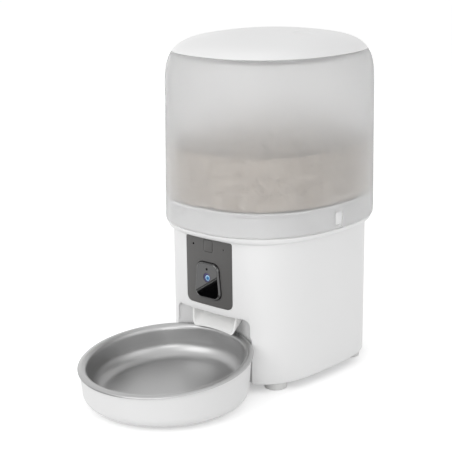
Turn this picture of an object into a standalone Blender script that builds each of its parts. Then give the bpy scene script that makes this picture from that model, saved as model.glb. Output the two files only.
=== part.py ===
"""Camera pet feeder: a frosted tank on a white base with a camera, and a slanted steel bowl in a round tray.

Lengths are in metres and +Z is up. Heights are from the floor. The feeder faces -Y.
"""

import math

import bmesh
import bpy
from mathutils import Matrix, Vector

# Fits shared by all pieces
GAP = 0.0003
FIT = 0.0004
RUNNING = 0.0002
OVERRUN = 0.003
SEGMENTS = 40
ROUND_SIDES = 20
SMALL_SIDES = 12
BORE_SIDES = 24

# Food tank, an oval that narrows a little upwards to a soft shoulder
TANK_HALF_WIDTH = 0.0880
TANK_LONGER = 0.0130
TANK_HALF_DEPTH = TANK_HALF_WIDTH + TANK_LONGER
TANK_SQUARENESS = 2.395
TANK_WALL = 0.0024
SKIRT_BOTTOM = 0.1477
SKIRT_EDGE = 0.0013
SKIRT_ROUNDING = 0.0030
SKIRT_HEIGHT = 0.0073
TANK_WIDEST_HEIGHT = SKIRT_BOTTOM + SKIRT_HEIGHT
SHOULDER_HEIGHT = 0.2687
TANK_NARROWING = 0.0012
SHOULDER_HALF_WIDTH = TANK_HALF_WIDTH - TANK_NARROWING
SHOULDER_RISE = 0.0456
LID_CROWN = 0.0081
SHOULDER_SQUARENESS = 8.2
SHOULDER_ROUNDNESS = 3.2
SEAM_INSET = 0.0058
SEAM_HALF_WIDTH = SHOULDER_HALF_WIDTH - SEAM_INSET
SEAM_RISE = 0.0362
SEAM_HEIGHT = SHOULDER_HEIGHT + SEAM_RISE
MOUTH_STEP = 0.0016
MOUTH_STEP_DEPTH = 0.0029
MOUTH_LEDGE = 0.0026
MOUTH_LEDGE_THICKNESS = 0.0018
SHOULDER_SHARES = (0.9985, 0.994, 0.985, 0.972, 0.955)

# Lid
LID_WALL = 0.0024
LID_RIM_DEPTH = 0.0013
SEAL_WIDTH = 0.0016
LID_SHARES = (0.90, 0.84, 0.74, 0.60, 0.40)
DIMPLE_OFFSET_X = 0.0340
DIMPLE_OFFSET_Y = 0.0060
DIMPLE_RADIUS = 0.0095
DIMPLE_DEPTH = 0.0013
DRYER_RADIUS = 0.0240
DRYER_WALL = 0.0018
DRYER_HEIGHT = 0.0140
DRYER_STEM_RADIUS = 0.0080
DRYER_ABOVE_SEAM = 0.0091
DRYER_TOP = SEAM_HEIGHT + DRYER_ABOVE_SEAM
DRYER_COVER_THICKNESS = 0.0022
DRYER_SLOT_WIDTH = 0.0030
DRYER_SLOT_LENGTH = 0.0240
DRYER_SLOT_PITCH = 0.0080

# Funnel in the tank's foot
BAND_TOP = 0.1705
FUNNEL_RIM = 0.0039
FUNNEL_RIM_WIDTH = 0.0040
FUNNEL_WALL = 0.0020
FUNNEL_OUTLET_RADIUS = 0.0330
FUNNEL_OUTLET_TOP = 0.1340

# Base body, a squarer oval under the tank's skirt
BASE_BOTTOM = 0.0080
BASE_END_INSET = 0.0130
BASE_SIDE_DRAFT = 0.0006
BASE_END_FLARE = 0.0011
BASE_HALF_WIDTH = 0.0745
BASE_HALF_DEPTH = TANK_HALF_DEPTH - BASE_END_INSET
BASE_TOP_HALF_WIDTH = BASE_HALF_WIDTH - BASE_SIDE_DRAFT
BASE_TOP_HALF_DEPTH = BASE_HALF_DEPTH + BASE_END_FLARE
BASE_SQUARENESS = 3.2
BASE_WALL = 0.0030
BASE_EDGE = 0.0008
LIP_START = 0.1398
LIP_INSET = 0.0015
LIP_HALF_WIDTH = TANK_HALF_WIDTH - LIP_INSET
LIP_SHARES = ((0.04, 0.15), (0.22, 0.20), (0.55, 0.26), (0.82, 0.46), (0.96, 0.76))
COLLAR_CLEARANCE = 0.0005
COLLAR_WALL = 0.0024
DECK_THICKNESS = 0.0030
DECK_HOLE_HALF_WIDTH = 0.0570
DECK_HOLE_HALF_DEPTH = 0.0640
SCREW_RADIUS = 0.0015
SCREW_HEAD_RADIUS = 0.0032
SCREW_HEAD_HEIGHT = 0.0018
SCREW_LENGTH = 0.0090
BOSS_RADIUS = 0.0050
BOSS_HEIGHT = 0.0180
BOSS_INSET = 0.0070
BOSS_OFFSET_Y = 0.0240

# Bowl and its tray, the bowl's rim slanting down to the front
BOWL_REACH = 0.0582
BOWL_OFFSET = BASE_HALF_DEPTH + BOWL_REACH
BOWL_TILT = math.radians(6.03)
RIM_HEIGHT = 0.0412
RIM_RADIUS = 0.0790
RIM_WIDTH = 0.0072
RIM_CROWN = 0.0012
STEEL_THICKNESS = 0.0010
BOWL_DEPTH = 0.0280
BOWL_TAPER = 0.0022
BOWL_FILLET = 0.0130
FILLET_STEPS = 4
TRAY_RADIUS = 0.0771
TRAY_DRAFT = 0.0022
TRAY_ROUNDING_WIDTH = 0.0240
TRAY_ROUNDING_HEIGHT = 0.0132
TRAY_BOWL_CLEARANCE = 0.0012
TRAY_FLOOR = 0.0020
TRAY_WALL = 0.0024
ROUNDING_STEPS = 4

# Recess in the base for the bowl
RECESS_CLEARANCE = 0.0005
RECESS_TOP = 0.0700
RECESS_HALF_WIDTH = 0.0448
RECESS_CORNER = 0.0070
RECESS_CORNER_STEPS = 5
RECESS_WALL = 0.0030
RIM_RELIEF_WIDTH = 0.0036
RIM_RELIEF_TOP = 0.0525

# Chute from the portion wheel to the bowl
CHUTE_WALL = 0.0018
CHUTE_LIP_SET_BACK = 0.0045
CHUTE_LIP_Y = BASE_HALF_DEPTH - CHUTE_LIP_SET_BACK
CHUTE_LIP_HEIGHT = 0.0506
CHUTE_REAR_Y = 0.0107
CHUTE_BEND_HEIGHT = 0.1045
CHUTE_SLOPE = (CHUTE_BEND_HEIGHT - CHUTE_LIP_HEIGHT) / (CHUTE_LIP_Y - CHUTE_REAR_Y)
CHUTE_FRONT_HEIGHT = 0.0215
CHUTE_FRONT_LEAN = 0.0033
CHUTE_LIP_HALF_WIDTH = 0.0260
CHUTE_CEILING_HALF_WIDTH = 0.0280
CHUTE_TOP_HALF_WIDTH = 0.0238
CHUTE_LIP_SAG = 0.0017

# Portion wheel
HOUSING_RADIUS = 0.0380
HOUSING_WALL = 0.0024
HOUSING_FLOOR = 0.0025
HOUSING_BOTTOM = 0.1083
HOUSING_TOP = 0.1310
HOUSING_FLANGE_RADIUS = 0.0440
HOUSING_FLANGE_THICKNESS = 0.0027
OUTLET_HALF_WIDTH = 0.0190
OUTLET_NEAR = 0.0140
OUTLET_FAR = 0.0320
ROTOR_HEIGHT = 0.0174
ROTOR_HUB_RADIUS = 0.0080
ROTOR_CLEARANCE = 0.0005
PADDLE_THICKNESS = 0.0025
PADDLES = 6
COVER_THICKNESS = 0.0020
COVER_INNER_RADIUS = 0.0110
COVER_SPREAD = math.radians(150)
SHAFT_RADIUS = 0.0030
BUSH_RADIUS = 0.0060
AGITATOR_RADIUS = 0.0095
AGITATOR_HEIGHT = 0.0110
AGITATOR_ARM_REACH = 0.0260
AGITATOR_ARM_WIDTH = 0.0040
AGITATOR_ARM_HEIGHT = 0.0035
AGITATOR_ARMS = 3

# Gear drive under the portion wheel
GEAR_MODULE = 0.0008
DRIVE_TEETH = 32
PINION_TEETH = 12
GEAR_HEIGHT = 0.0060
GEAR_BACKLASH = 0.0002
GEAR_BOTTOM = 0.0945
TOOTH_ROOT_SHARE = 0.62
TOOTH_TIP_SHARE = 0.24
ADDENDUM_SHARE = 0.90
DEDENDUM_SHARE = 1.20
BRACKET_THICKNESS = 0.0025
BRACKET_CLEARANCE = 0.0010
BRACKET_HALF_WIDTH = 0.0260
BRACKET_FRONT = 0.0100
BRACKET_REAR = 0.0400
BRACKET_POST_RADIUS = 0.0030
MOTOR_RADIUS = 0.0120
MOTOR_HEIGHT = 0.0330
MOTOR_CAN_RADIUS = 0.0100
MOTOR_CAN_HEIGHT = 0.0110
MOTOR_SCREW_OFFSET_X = 0.0085
MOTOR_SCREW_OFFSET_Y = 0.0030
MOTOR_SCREW_HEAD_RADIUS = 0.0020
FRAME_THICKNESS = 0.0025
FRAME_FRONT_INSET = 0.0260
FRAME_FRONT = BASE_HALF_DEPTH - FRAME_FRONT_INSET

# Front panel and its pieces
PANEL_HALF_WIDTH = 0.0280
PANEL_BOTTOM = 0.0764
PANEL_TOP = 0.1396
PANEL_THICKNESS = 0.0016
PANEL_TOP_CORNER = 0.0020
PANEL_BOTTOM_CORNER = 0.0060
PANEL_LEDGE = 0.0020
BUTTON_SIZE = 0.0108
BUTTON_CORNER = 0.0018
BUTTON_HEIGHT = 0.1332
BUTTON_DEPTH = 0.0030
BUTTON_TRAVEL = 0.0008
INDICATOR_X = 0.0184
INDICATOR_HEIGHT = 0.1326
INDICATOR_RADIUS = 0.0011
INDICATOR_RECESS = 0.0004
MICROPHONE_X = 0.0186
MICROPHONE_RADIUS = 0.0006
MICROPHONE_CAN_RADIUS = 0.0020
POD_BOTTOM = 0.0830
POD_TOP = 0.1178
POD_TOP_HALF_WIDTH = 0.0130
POD_BOTTOM_HALF_WIDTH = 0.0164
POD_TOP_CORNER = 0.0065
POD_BOTTOM_CORNER = 0.0080
POD_PROUD = 0.0030
POD_DRAFT = 0.0030
POD_SHARES = ((0.0, 0.0), (0.15, 0.45), (0.42, 0.82), (1.0, 1.0))
POD_WALL = 0.0014
POD_DEPTH = 0.0140
WINDOW_INSET = 0.0004
WINDOW_THICKNESS = 0.0009
LENS_HEIGHT = 0.1035
LENS_RADIUS = 0.0033
BARREL_WALL = 0.0008
SENSOR_HEIGHT = 0.1115
SENSOR_RADIUS = 0.0010
BOARD_THICKNESS = 0.0016
BOARD_EDGE_GAP = 0.0010
BUTTON_BOARD_HALF_WIDTH = 0.0230
BUTTON_BOARD_BOTTOM = 0.1210
SWITCH_SIZE = 0.0060

# Catches that hold the tank, in slots of its skirt
CATCH_FRONT = 0.0123
CATCH_REAR = 0.0020
CATCH_BOTTOM = 0.1524
CATCH_TOP = 0.1637
CATCH_LEG_WIDTH = 0.0027
CATCH_LEG_BOTTOM = 0.1487
CATCH_SET_BACK = 0.0011
CATCH_FLANGE = 0.0020
CATCH_FLANGE_ABOVE = 0.0006
CATCH_FLANGE_THICKNESS = 0.0018
CATCH_BACK_CLEARANCE = 0.0008

# Underside
FOOT_RADIUS = 0.0105
FOOT_CHAMFER = 0.0008
FOOT_SIDE_INSET = 0.0213
FOOT_FRONT_INSET = 0.0320
FOOT_REAR_INSET = 0.0310
FOOT_X = BASE_HALF_WIDTH - FOOT_SIDE_INSET
FOOT_FRONT_Y = BASE_HALF_DEPTH - FOOT_FRONT_INSET
FOOT_REAR_Y = BASE_HALF_DEPTH - FOOT_REAR_INSET
PLATE_THICKNESS = 0.0025
CELL_RADIUS = 0.0165
CELL_LENGTH = 0.0600
CELL_NUB_RADIUS = 0.0045
CELL_NUB_LENGTH = 0.0014
CELLS = 3
CELL_SPACING = 0.0338
CELL_ROW_Y = 0.0090
BAY_WALL = 0.0018
BAY_CLEARANCE = 0.0006
DOOR_THICKNESS = 0.0020
DOOR_OVERLAP = 0.0024
RAIL_WALL = 0.0020
RAIL_LIP = 0.0008
SPEAKER_RADIUS = 0.0130
SPEAKER_HEIGHT = 0.0090
SPEAKER_SIDE_INSET = 0.0245
SPEAKER_X = BASE_HALF_WIDTH - SPEAKER_SIDE_INSET
SPEAKER_Y = 0.0020
SPEAKER_HOLE_RADIUS = 0.0012
SPEAKER_HOLE_RING = 0.0060
SPEAKER_HOLES = 6
SPEAKER_HOLE_SIDES = 8
INLET_HEIGHT = 0.0640
INLET_RADIUS = 0.0055
INLET_BORE = 0.0030
INLET_LENGTH = 0.0140
INLET_PIN_RADIUS = 0.0010
MAIN_BOARD_HALF_WIDTH = 0.0300
MAIN_BOARD_FRONT = 0.0340
MAIN_BOARD_REAR = 0.0560
BOARD_POST_HEIGHT = 0.0040
CHIP_HEIGHT = 0.0030
CABLE_RADIUS = 0.0013
CABLE_SIDE_CLEARANCE = 0.0078
CABLE_PLUG_INSET = 0.0060
CAMERA_START_SHARES = (
    (0.25, 1.0, 1.0),
    (0.27, 0.93, 1.0),
    (0.55, 0.84, 0.99),
    (0.92, 0.72, 0.92),
    (1.0, 0.56, 0.76),
    (1.0, 0.30, 0.60),
)
CAMERA_END_SHARES = ((1.27, 0.05, 1.04), (1.02, 0.70, 1.0), (1.0, 0.85, 1.0), (1.0, 1.0, 1.0))
POWER_ROUTE_SHARES = ((0.0, 0.0), (0.2, 0.0), (0.45, 0.25), (0.6, 0.75), (0.8, 1.0), (1.0, 1.0))

# Where the feeder's axis and the bowl's centre stand, with the origin under the middle of the whole
FEEDER_Y = (BOWL_OFFSET + RIM_RADIUS * math.cos(BOWL_TILT) - TANK_HALF_DEPTH) / 2
TANK_DEPTH_SHARE = TANK_HALF_DEPTH / TANK_HALF_WIDTH
LIP_TOP = SKIRT_BOTTOM - GAP
COLLAR_HALF_WIDTH = TANK_HALF_WIDTH - TANK_WALL - COLLAR_CLEARANCE
COLLAR_TOP = BAND_TOP - FUNNEL_RIM - GAP
FRONT = -BASE_TOP_HALF_DEPTH
PITCH_RADIUS = GEAR_MODULE * DRIVE_TEETH / 2
PINION_PITCH_RADIUS = GEAR_MODULE * PINION_TEETH / 2
PINION_Y = PITCH_RADIUS + PINION_PITCH_RADIUS + GEAR_BACKLASH
ROTOR_BOTTOM = HOUSING_BOTTOM + HOUSING_FLOOR + GAP
ROTOR_TOP = ROTOR_BOTTOM + ROTOR_HEIGHT
PLATE_TOP = BASE_BOTTOM + PLATE_THICKNESS
DOOR_TOP = BASE_BOTTOM - GAP
CELL_CENTRE = BASE_BOTTOM + CELL_RADIUS
BAY_TOP = CELL_CENTRE + CELL_RADIUS + BAY_CLEARANCE + BAY_WALL
BAY_HALF_LENGTH = CELL_LENGTH / 2 + CELL_NUB_LENGTH + BAY_CLEARANCE
BAY_HALF_DEPTH = CELL_SPACING * (CELLS - 1) / 2 + CELL_RADIUS + BAY_CLEARANCE


def clear_scene():
    for old in list(bpy.data.objects):
        bpy.data.objects.remove(old)


def material(name, colour, roughness, metallic=0.0, alpha=1.0):
    made = bpy.data.materials.new(name)
    made.use_nodes = True
    shader = made.node_tree.nodes["Principled BSDF"]
    shader.inputs["Base Color"].default_value = (*colour, 1)
    shader.inputs["Roughness"].default_value = roughness
    shader.inputs["Metallic"].default_value = metallic
    shader.inputs["Alpha"].default_value = alpha
    return made


def white(name):
    return material(name + "_white", (0.86, 0.86, 0.85), 0.40)


def frosted(name):
    return material(name + "_frosted", (0.78, 0.77, 0.76), 0.55, alpha=0.55)


def glossy_black(name):
    return material(name + "_black", (0.03, 0.03, 0.035), 0.10)


def dark_plastic(name):
    return material(name + "_dark", (0.12, 0.12, 0.12), 0.50)


def steel(name):
    return material(name + "_steel", (0.62, 0.61, 0.60), 0.35, 1.0)


def rubber(name):
    return material(name + "_rubber", (0.55, 0.55, 0.55), 0.80)


def acetal(name):
    return material(name + "_acetal", (0.80, 0.79, 0.74), 0.45)


def circuit_board(name):
    return material(name + "_board", (0.02, 0.16, 0.07), 0.50)


def empty(name, place):
    marker = bpy.data.objects.new(name, None)
    marker.location = place
    bpy.context.scene.collection.objects.link(marker)
    return marker


def place_mesh(name, mesh_data, finish=None, place=(0, 0, 0), parent=None, tilt=0.0):
    """Turns a bmesh into an object. With no finish it is a cutter, which isn't part of the model."""
    bmesh.ops.recalc_face_normals(mesh_data, faces=mesh_data.faces[:])
    mesh = bpy.data.meshes.new(name)
    mesh_data.to_mesh(mesh)
    mesh_data.free()
    item = bpy.data.objects.new(name, mesh)
    item.location = place
    item.rotation_euler = (tilt, 0, 0)
    item.parent = parent
    bpy.context.scene.collection.objects.link(item)
    if finish is None:
        item.hide_render = True
        item.display_type = "WIRE"
    else:
        mesh.materials.append(finish)
        mesh.shade_smooth()
        mesh.set_sharp_from_angle(angle=math.radians(35))
    return item


def combine(item, other, operation):
    modifier = item.modifiers.new(other.name, "BOOLEAN")
    modifier.solver = "EXACT"
    modifier.operation = operation
    modifier.object = other
    return item


def cut(item, *others):
    for other in others:
        combine(item, other, "DIFFERENCE")
    return item


def join(item, *others):
    for other in others:
        combine(item, other, "UNION")
    return item


def common(item, other):
    return combine(item, other, "INTERSECT")


def oval(half_width, half_depth, squareness, height, sides=SEGMENTS):
    """Points at even angles on an oval whose corners get squarer with squareness."""
    points = []
    for step in range(sides):
        angle = 2 * math.pi * step / sides
        across, along = math.cos(angle), math.sin(angle)
        reach = (abs(across / half_width) ** squareness + abs(along / half_depth) ** squareness) ** (
            -1 / squareness
        )
        points.append(Vector((reach * across, reach * along, height)))
    return points


def tank_oval(half_width, height):
    return oval(half_width, half_width * TANK_DEPTH_SHARE, TANK_SQUARENESS, height)


def base_oval(height, inset=0.0):
    """The base wall's outline at a height, moved inwards by inset."""
    share = (height - BASE_BOTTOM) / (LIP_START - BASE_BOTTOM)
    half_width = BASE_HALF_WIDTH + (BASE_TOP_HALF_WIDTH - BASE_HALF_WIDTH) * share
    half_depth = BASE_HALF_DEPTH + (BASE_TOP_HALF_DEPTH - BASE_HALF_DEPTH) * share
    return oval(half_width - inset, half_depth - inset, BASE_SQUARENESS, height)


def circle(radius, height, sides=ROUND_SIDES, slope=0.0):
    """A ring of points that may slant along Y."""
    points = []
    for step in range(sides):
        angle = 2 * math.pi * step / sides
        along = radius * math.sin(angle)
        points.append(Vector((radius * math.cos(angle), along, height + slope * along)))
    return points


def between(first, second, share, height):
    points = [a.lerp(b, share) for a, b in zip(first, second)]
    for point in points:
        point.z = height
    return points


def skin(rings, looped=False):
    """Skins a stack of rings, closed by flat caps or, when looped, back to the first. A lone point is a pole."""
    mesh_data = bmesh.new()
    layers = [[mesh_data.verts.new(point) for point in ring] for ring in rings]
    pairs = list(zip(layers, layers[1:]))
    if looped:
        pairs.append((layers[-1], layers[0]))
    else:
        for cap in (layers[0], layers[-1]):
            if len(cap) > 1:
                mesh_data.faces.new(cap)
    for low, high in pairs:
        count = max(len(low), len(high))
        for step in range(count):
            after = (step + 1) % count
            if len(low) == 1:
                corners = (low[0], high[step], high[after])
            elif len(high) == 1:
                corners = (low[step], low[after], high[0])
            else:
                corners = (low[step], low[after], high[after], high[step])
            mesh_data.faces.new(corners)
    return mesh_data


def turned(profile, sides=ROUND_SIDES, looped=False):
    """A turned shape about Z from (radius, height) points; radius zero makes a pole."""
    rings = [
        circle(radius, height, sides) if radius else [Vector((0, 0, height))] for radius, height in profile
    ]
    return skin(rings, looped)


def rod(radius, low, high, sides=ROUND_SIDES):
    return turned([(radius, low), (radius, high)], sides)


def along_y(mesh_data, side=-1):
    """Turns a shape made along Z so that its top faces -Y, or +Y when side is 1."""
    bmesh.ops.rotate(mesh_data, verts=mesh_data.verts[:], matrix=Matrix.Rotation(-side * math.pi / 2, 3, "X"))
    return mesh_data


def along_x(mesh_data, side=1):
    """Turns a shape made along Z so that its top faces +X, or -X when side is -1."""
    bmesh.ops.rotate(mesh_data, verts=mesh_data.verts[:], matrix=Matrix.Rotation(side * math.pi / 2, 3, "Y"))
    return mesh_data


def moved(mesh_data, x=0.0, y=0.0, z=0.0):
    bmesh.ops.translate(mesh_data, verts=mesh_data.verts[:], vec=(x, y, z))
    return mesh_data


def merged(*parts):
    """Several separate shapes as one mesh, for cutters."""
    whole = bmesh.new()
    for part in parts:
        fresh = {vert: whole.verts.new(vert.co) for vert in part.verts}
        for face in part.faces:
            whole.faces.new([fresh[vert] for vert in face.verts])
        part.free()
    return whole


def box(low, high):
    rings = []
    for height in (low[2], high[2]):
        corners = ((low[0], low[1]), (high[0], low[1]), (high[0], high[1]), (low[0], high[1]))
        rings.append([Vector((x, y, height)) for x, y in corners])
    return skin(rings)


def rounded(corners, radii, steps=4):
    """An outline through convex corners, each one rounded by an arc of its radius."""
    points = []
    count = len(corners)
    for index, (corner, radius) in enumerate(zip(corners, radii)):
        here = Vector(corner)
        if not radius:
            points.append(here)
            continue
        before = (Vector(corners[index - 1]) - here).normalized()
        after = (Vector(corners[(index + 1) % count]) - here).normalized()
        half = before.angle(after) / 2
        centre = here + (before + after).normalized() * (radius / math.sin(half))
        start = here + before * (radius / math.tan(half)) - centre
        sweep = start.angle_signed(here + after * (radius / math.tan(half)) - centre)
        for step in range(steps + 1):
            turn = -sweep * step / steps
            points.append(centre + Matrix.Rotation(turn, 2) @ start)
    return points


def trapezium(bottom_half, top_half, bottom, top):
    return [(-bottom_half, bottom), (bottom_half, bottom), (top_half, top), (-top_half, top)]


def front_outline(corners, radii, near, far, steps=4):
    """A prism along Y from near to far, with a rounded outline seen from the front."""
    outline = rounded(corners, radii, steps)
    return skin([[Vector((x, y, z)) for x, z in outline] for y in (near, far)])


def side_prism(outline, low, high):
    """A prism along X from an outline of (y, z) points."""
    return skin([[Vector((x, y, z)) for y, z in outline] for x in (low, high)])


def plan_prism(outline, low, high):
    """A prism along Z from an outline of (x, y) points."""
    return skin([[Vector((x, y, z)) for x, y in outline] for z in (low, high)])


def shoulder(half_width):
    """Height of the outer surface over the shoulder and lid at a half-width."""
    share = min(half_width / SHOULDER_HALF_WIDTH, 1)
    rise = SHOULDER_RISE * (1 - share**SHOULDER_SQUARENESS) ** (1 / SHOULDER_ROUNDNESS)
    return SHOULDER_HEIGHT + rise + LID_CROWN * (1 - share**2)


def inset_profile(profile, wall):
    """Moves (half-width, height) points inwards from an outline that runs up and over."""
    moved_points = []
    for index, (width, height) in enumerate(profile):
        before = profile[max(index - 1, 0)]
        after = profile[min(index + 1, len(profile) - 1)]
        run, rise = after[0] - before[0], after[1] - before[1]
        length = math.hypot(run, rise)
        moved_points.append((width - wall * rise / length, height + wall * run / length))
    return moved_points


def tank_rings(profile):
    return [tank_oval(half_width, height) for half_width, height in profile]


def make_hopper(axis):
    outer = [(TANK_HALF_WIDTH - SKIRT_EDGE, SKIRT_BOTTOM), (TANK_HALF_WIDTH, SKIRT_BOTTOM + SKIRT_ROUNDING)]
    outer += [(TANK_HALF_WIDTH, TANK_WIDEST_HEIGHT), (SHOULDER_HALF_WIDTH, SHOULDER_HEIGHT)]
    outer += [
        (SHOULDER_HALF_WIDTH * share, shoulder(SHOULDER_HALF_WIDTH * share)) for share in SHOULDER_SHARES
    ]
    step = SEAM_HALF_WIDTH - MOUTH_STEP
    ledge = step - MOUTH_LEDGE
    step_height = SEAM_HEIGHT - MOUTH_STEP_DEPTH
    mouth = [(SEAM_HALF_WIDTH, SEAM_HEIGHT), (step, SEAM_HEIGHT), (step, step_height)]
    mouth += [(ledge, step_height), (ledge, step_height - MOUTH_LEDGE_THICKNESS)]
    inner = inset_profile(outer[2:], TANK_WALL)[::-1] + [(TANK_HALF_WIDTH - TANK_WALL, SKIRT_BOTTOM)]
    shell = place_mesh(
        "hopper_shell", skin(tank_rings(outer + mouth + inner), True), frosted("tank"), parent=axis
    )
    for side in (-1, 1):
        slot = place_mesh(
            "slot_cutter",
            catch_shape(side, FIT, COLLAR_HALF_WIDTH, TANK_HALF_WIDTH + OVERRUN, True),
            parent=axis,
        )
        relief = place_mesh("relief_cutter", catch_relief(side), parent=axis)
        cut(shell, slot, relief)
    make_funnel(axis)


def make_funnel(axis):
    rim = tank_half_width(BAND_TOP) - TANK_WALL - GAP
    rim_inner = rim - FUNNEL_RIM_WIDTH
    spigot_bottom = HOUSING_TOP + GAP
    outside = [
        tank_oval(rim, BAND_TOP),
        tank_oval(rim, BAND_TOP - FUNNEL_RIM),
        tank_oval(rim_inner, BAND_TOP - FUNNEL_RIM),
    ]
    spigot = FUNNEL_OUTLET_RADIUS + FUNNEL_WALL
    outside += [circle(spigot, FUNNEL_OUTLET_TOP, SEGMENTS), circle(spigot, spigot_bottom, SEGMENTS)]
    inside = [circle(FUNNEL_OUTLET_RADIUS, spigot_bottom, SEGMENTS)]
    inside += [
        circle(FUNNEL_OUTLET_RADIUS, FUNNEL_OUTLET_TOP + GAP, SEGMENTS),
        tank_oval(rim - FUNNEL_WALL, BAND_TOP),
    ]
    place_mesh("hopper_floor", skin(outside + inside, True), white("funnel"), parent=axis)


def tank_half_width(height):
    share = (height - TANK_WIDEST_HEIGHT) / (SHOULDER_HEIGHT - TANK_WIDEST_HEIGHT)
    return TANK_HALF_WIDTH + (SHOULDER_HALF_WIDTH - TANK_HALF_WIDTH) * max(share, 0)


def catch_outline(grow, to_edge):
    """The catch's hooked outline as (y, z) points; to_edge runs its leg out of the skirt."""
    front, rear = -CATCH_FRONT - grow, -CATCH_REAR + grow
    leg = -CATCH_REAR - CATCH_LEG_WIDTH - grow
    low = SKIRT_BOTTOM - OVERRUN if to_edge else CATCH_LEG_BOTTOM - grow
    top, shelf = CATCH_TOP + grow, CATCH_BOTTOM - grow
    return [(leg, low), (rear, low), (rear, top), (front, top), (front, shelf), (leg, shelf)]


def catch_shape(side, grow, near, far, to_edge=False):
    return side_prism(catch_outline(grow, to_edge), side * near, side * far)


def catch_relief(side):
    """Clears the skirt below the slot on its inner side, so that the tank lifts past the catch."""
    far = TANK_HALF_WIDTH - CATCH_SET_BACK + GAP
    low = (-CATCH_FRONT - FIT, SKIRT_BOTTOM - OVERRUN)
    high = (-CATCH_REAR - CATCH_LEG_WIDTH, CATCH_BOTTOM)
    outline = [low, (high[0], low[1]), high, (low[0], high[1])]
    return side_prism(outline, side * (COLLAR_HALF_WIDTH - OVERRUN), side * far)


def make_catch(name, side, axis):
    flange_back = COLLAR_HALF_WIDTH - COLLAR_WALL - CATCH_BACK_CLEARANCE
    face = catch_shape(side, 0, flange_back - CATCH_FLANGE_THICKNESS / 2, TANK_HALF_WIDTH - CATCH_SET_BACK)
    catch = place_mesh(name, face, white(name), parent=axis)
    outline = [
        (-CATCH_FRONT - CATCH_FLANGE, CATCH_LEG_BOTTOM),
        (-CATCH_REAR + CATCH_FLANGE, CATCH_LEG_BOTTOM),
        (-CATCH_REAR + CATCH_FLANGE, CATCH_TOP + CATCH_FLANGE_ABOVE),
        (-CATCH_FRONT - CATCH_FLANGE, CATCH_TOP + CATCH_FLANGE_ABOVE),
    ]
    flange = side_prism(outline, side * (flange_back - CATCH_FLANGE_THICKNESS), side * flange_back)
    join(catch, place_mesh(name + "_flange", flange, parent=axis))


def make_lid(axis):
    outer = [(SHOULDER_HALF_WIDTH * share, shoulder(SHOULDER_HALF_WIDTH * share)) for share in LID_SHARES]
    inner = inset_profile(outer, LID_WALL)
    rim = SEAM_HEIGHT + GAP
    plug = SEAM_HALF_WIDTH - MOUTH_STEP - GAP
    plug_inner = SEAM_HALF_WIDTH - MOUTH_STEP - MOUTH_LEDGE - GAP
    shelf = rim - LID_RIM_DEPTH
    top = SHOULDER_HEIGHT + SHOULDER_RISE + LID_CROWN
    rings = [[Vector((0, 0, top))]] + tank_rings(outer[::-1])
    rings += tank_rings([(SEAM_HALF_WIDTH, rim), (plug, rim), (plug, shelf), (plug_inner, shelf)])
    rings += tank_rings(inner) + [[Vector((0, 0, top - LID_WALL))]]
    lid = place_mesh("lid_cap", skin(rings), white("lid"), parent=axis)
    for side in (-1, 1):
        dimple = turned([(0, -DIMPLE_DEPTH)] + dimple_profile() + [(0, DIMPLE_DEPTH)])
        slope = math.atan(2 * LID_CROWN * DIMPLE_OFFSET_X / SHOULDER_HALF_WIDTH**2)
        bmesh.ops.rotate(dimple, verts=dimple.verts[:], matrix=Matrix.Rotation(side * slope, 3, "Y"))
        place = (side * DIMPLE_OFFSET_X, DIMPLE_OFFSET_Y, shoulder(DIMPLE_OFFSET_X))
        cut(lid, place_mesh("dimple_cutter", dimple, place=place, parent=axis))
    make_seal(axis, shelf)
    make_dryer(axis, top)


def dimple_profile():
    steps = 6
    angles = [math.pi * step / steps - math.pi / 2 for step in range(1, steps)]
    return [(DIMPLE_RADIUS * math.cos(angle), DIMPLE_DEPTH * math.sin(angle)) for angle in angles]


def make_seal(axis, shelf):
    outer = SEAM_HALF_WIDTH - MOUTH_STEP - FIT
    inner = outer - SEAL_WIDTH
    low, high = SEAM_HEIGHT - MOUTH_STEP_DEPTH + GAP, shelf - GAP
    profile = [(outer, low), (outer, high), (inner, high), (inner, low)]
    place_mesh("lid_seal", skin(tank_rings(profile), True), rubber("seal"), parent=axis)


def make_dryer(axis, top):
    """The drying bag's round holder under the lid, closed by a slotted cover that twists off."""
    bottom = DRYER_TOP - DRYER_HEIGHT
    inner = DRYER_RADIUS - DRYER_WALL
    stem_top = top - LID_WALL - LID_CROWN * (DRYER_STEM_RADIUS / SHOULDER_HALF_WIDTH) ** 2 - 2 * GAP
    profile = [
        (0, stem_top),
        (DRYER_STEM_RADIUS, stem_top),
        (DRYER_STEM_RADIUS, DRYER_TOP),
        (DRYER_RADIUS, DRYER_TOP),
    ]
    profile += [
        (DRYER_RADIUS, bottom), (inner, bottom), (inner, DRYER_TOP - DRYER_WALL), (0, DRYER_TOP - DRYER_WALL)
    ]
    place_mesh("desiccant_box", turned(profile), white("dryer"), parent=axis)
    cover_top = bottom - GAP
    cover = turned([
        (0, cover_top - DRYER_COVER_THICKNESS),
        (DRYER_RADIUS, cover_top - DRYER_COVER_THICKNESS),
        (DRYER_RADIUS, cover_top),
        (inner - FIT, cover_top),
        (inner - FIT, cover_top + DRYER_COVER_THICKNESS),
        (inner - FIT - DRYER_WALL, cover_top + DRYER_COVER_THICKNESS),
        (inner - FIT - DRYER_WALL, cover_top),
        (0, cover_top),
    ])
    cover = place_mesh("desiccant_cover", cover, white("dryer_cover"), parent=axis)
    slots = []
    for step in (-1, 0, 1):
        x = step * DRYER_SLOT_PITCH
        low = (x - DRYER_SLOT_WIDTH / 2, -DRYER_SLOT_LENGTH / 2, cover_top - DRYER_COVER_THICKNESS - OVERRUN)
        slots.append(box(low, (x + DRYER_SLOT_WIDTH / 2, DRYER_SLOT_LENGTH / 2, cover_top + OVERRUN)))
    cut(cover, place_mesh("slots_cutter", merged(*slots), parent=axis))


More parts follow.
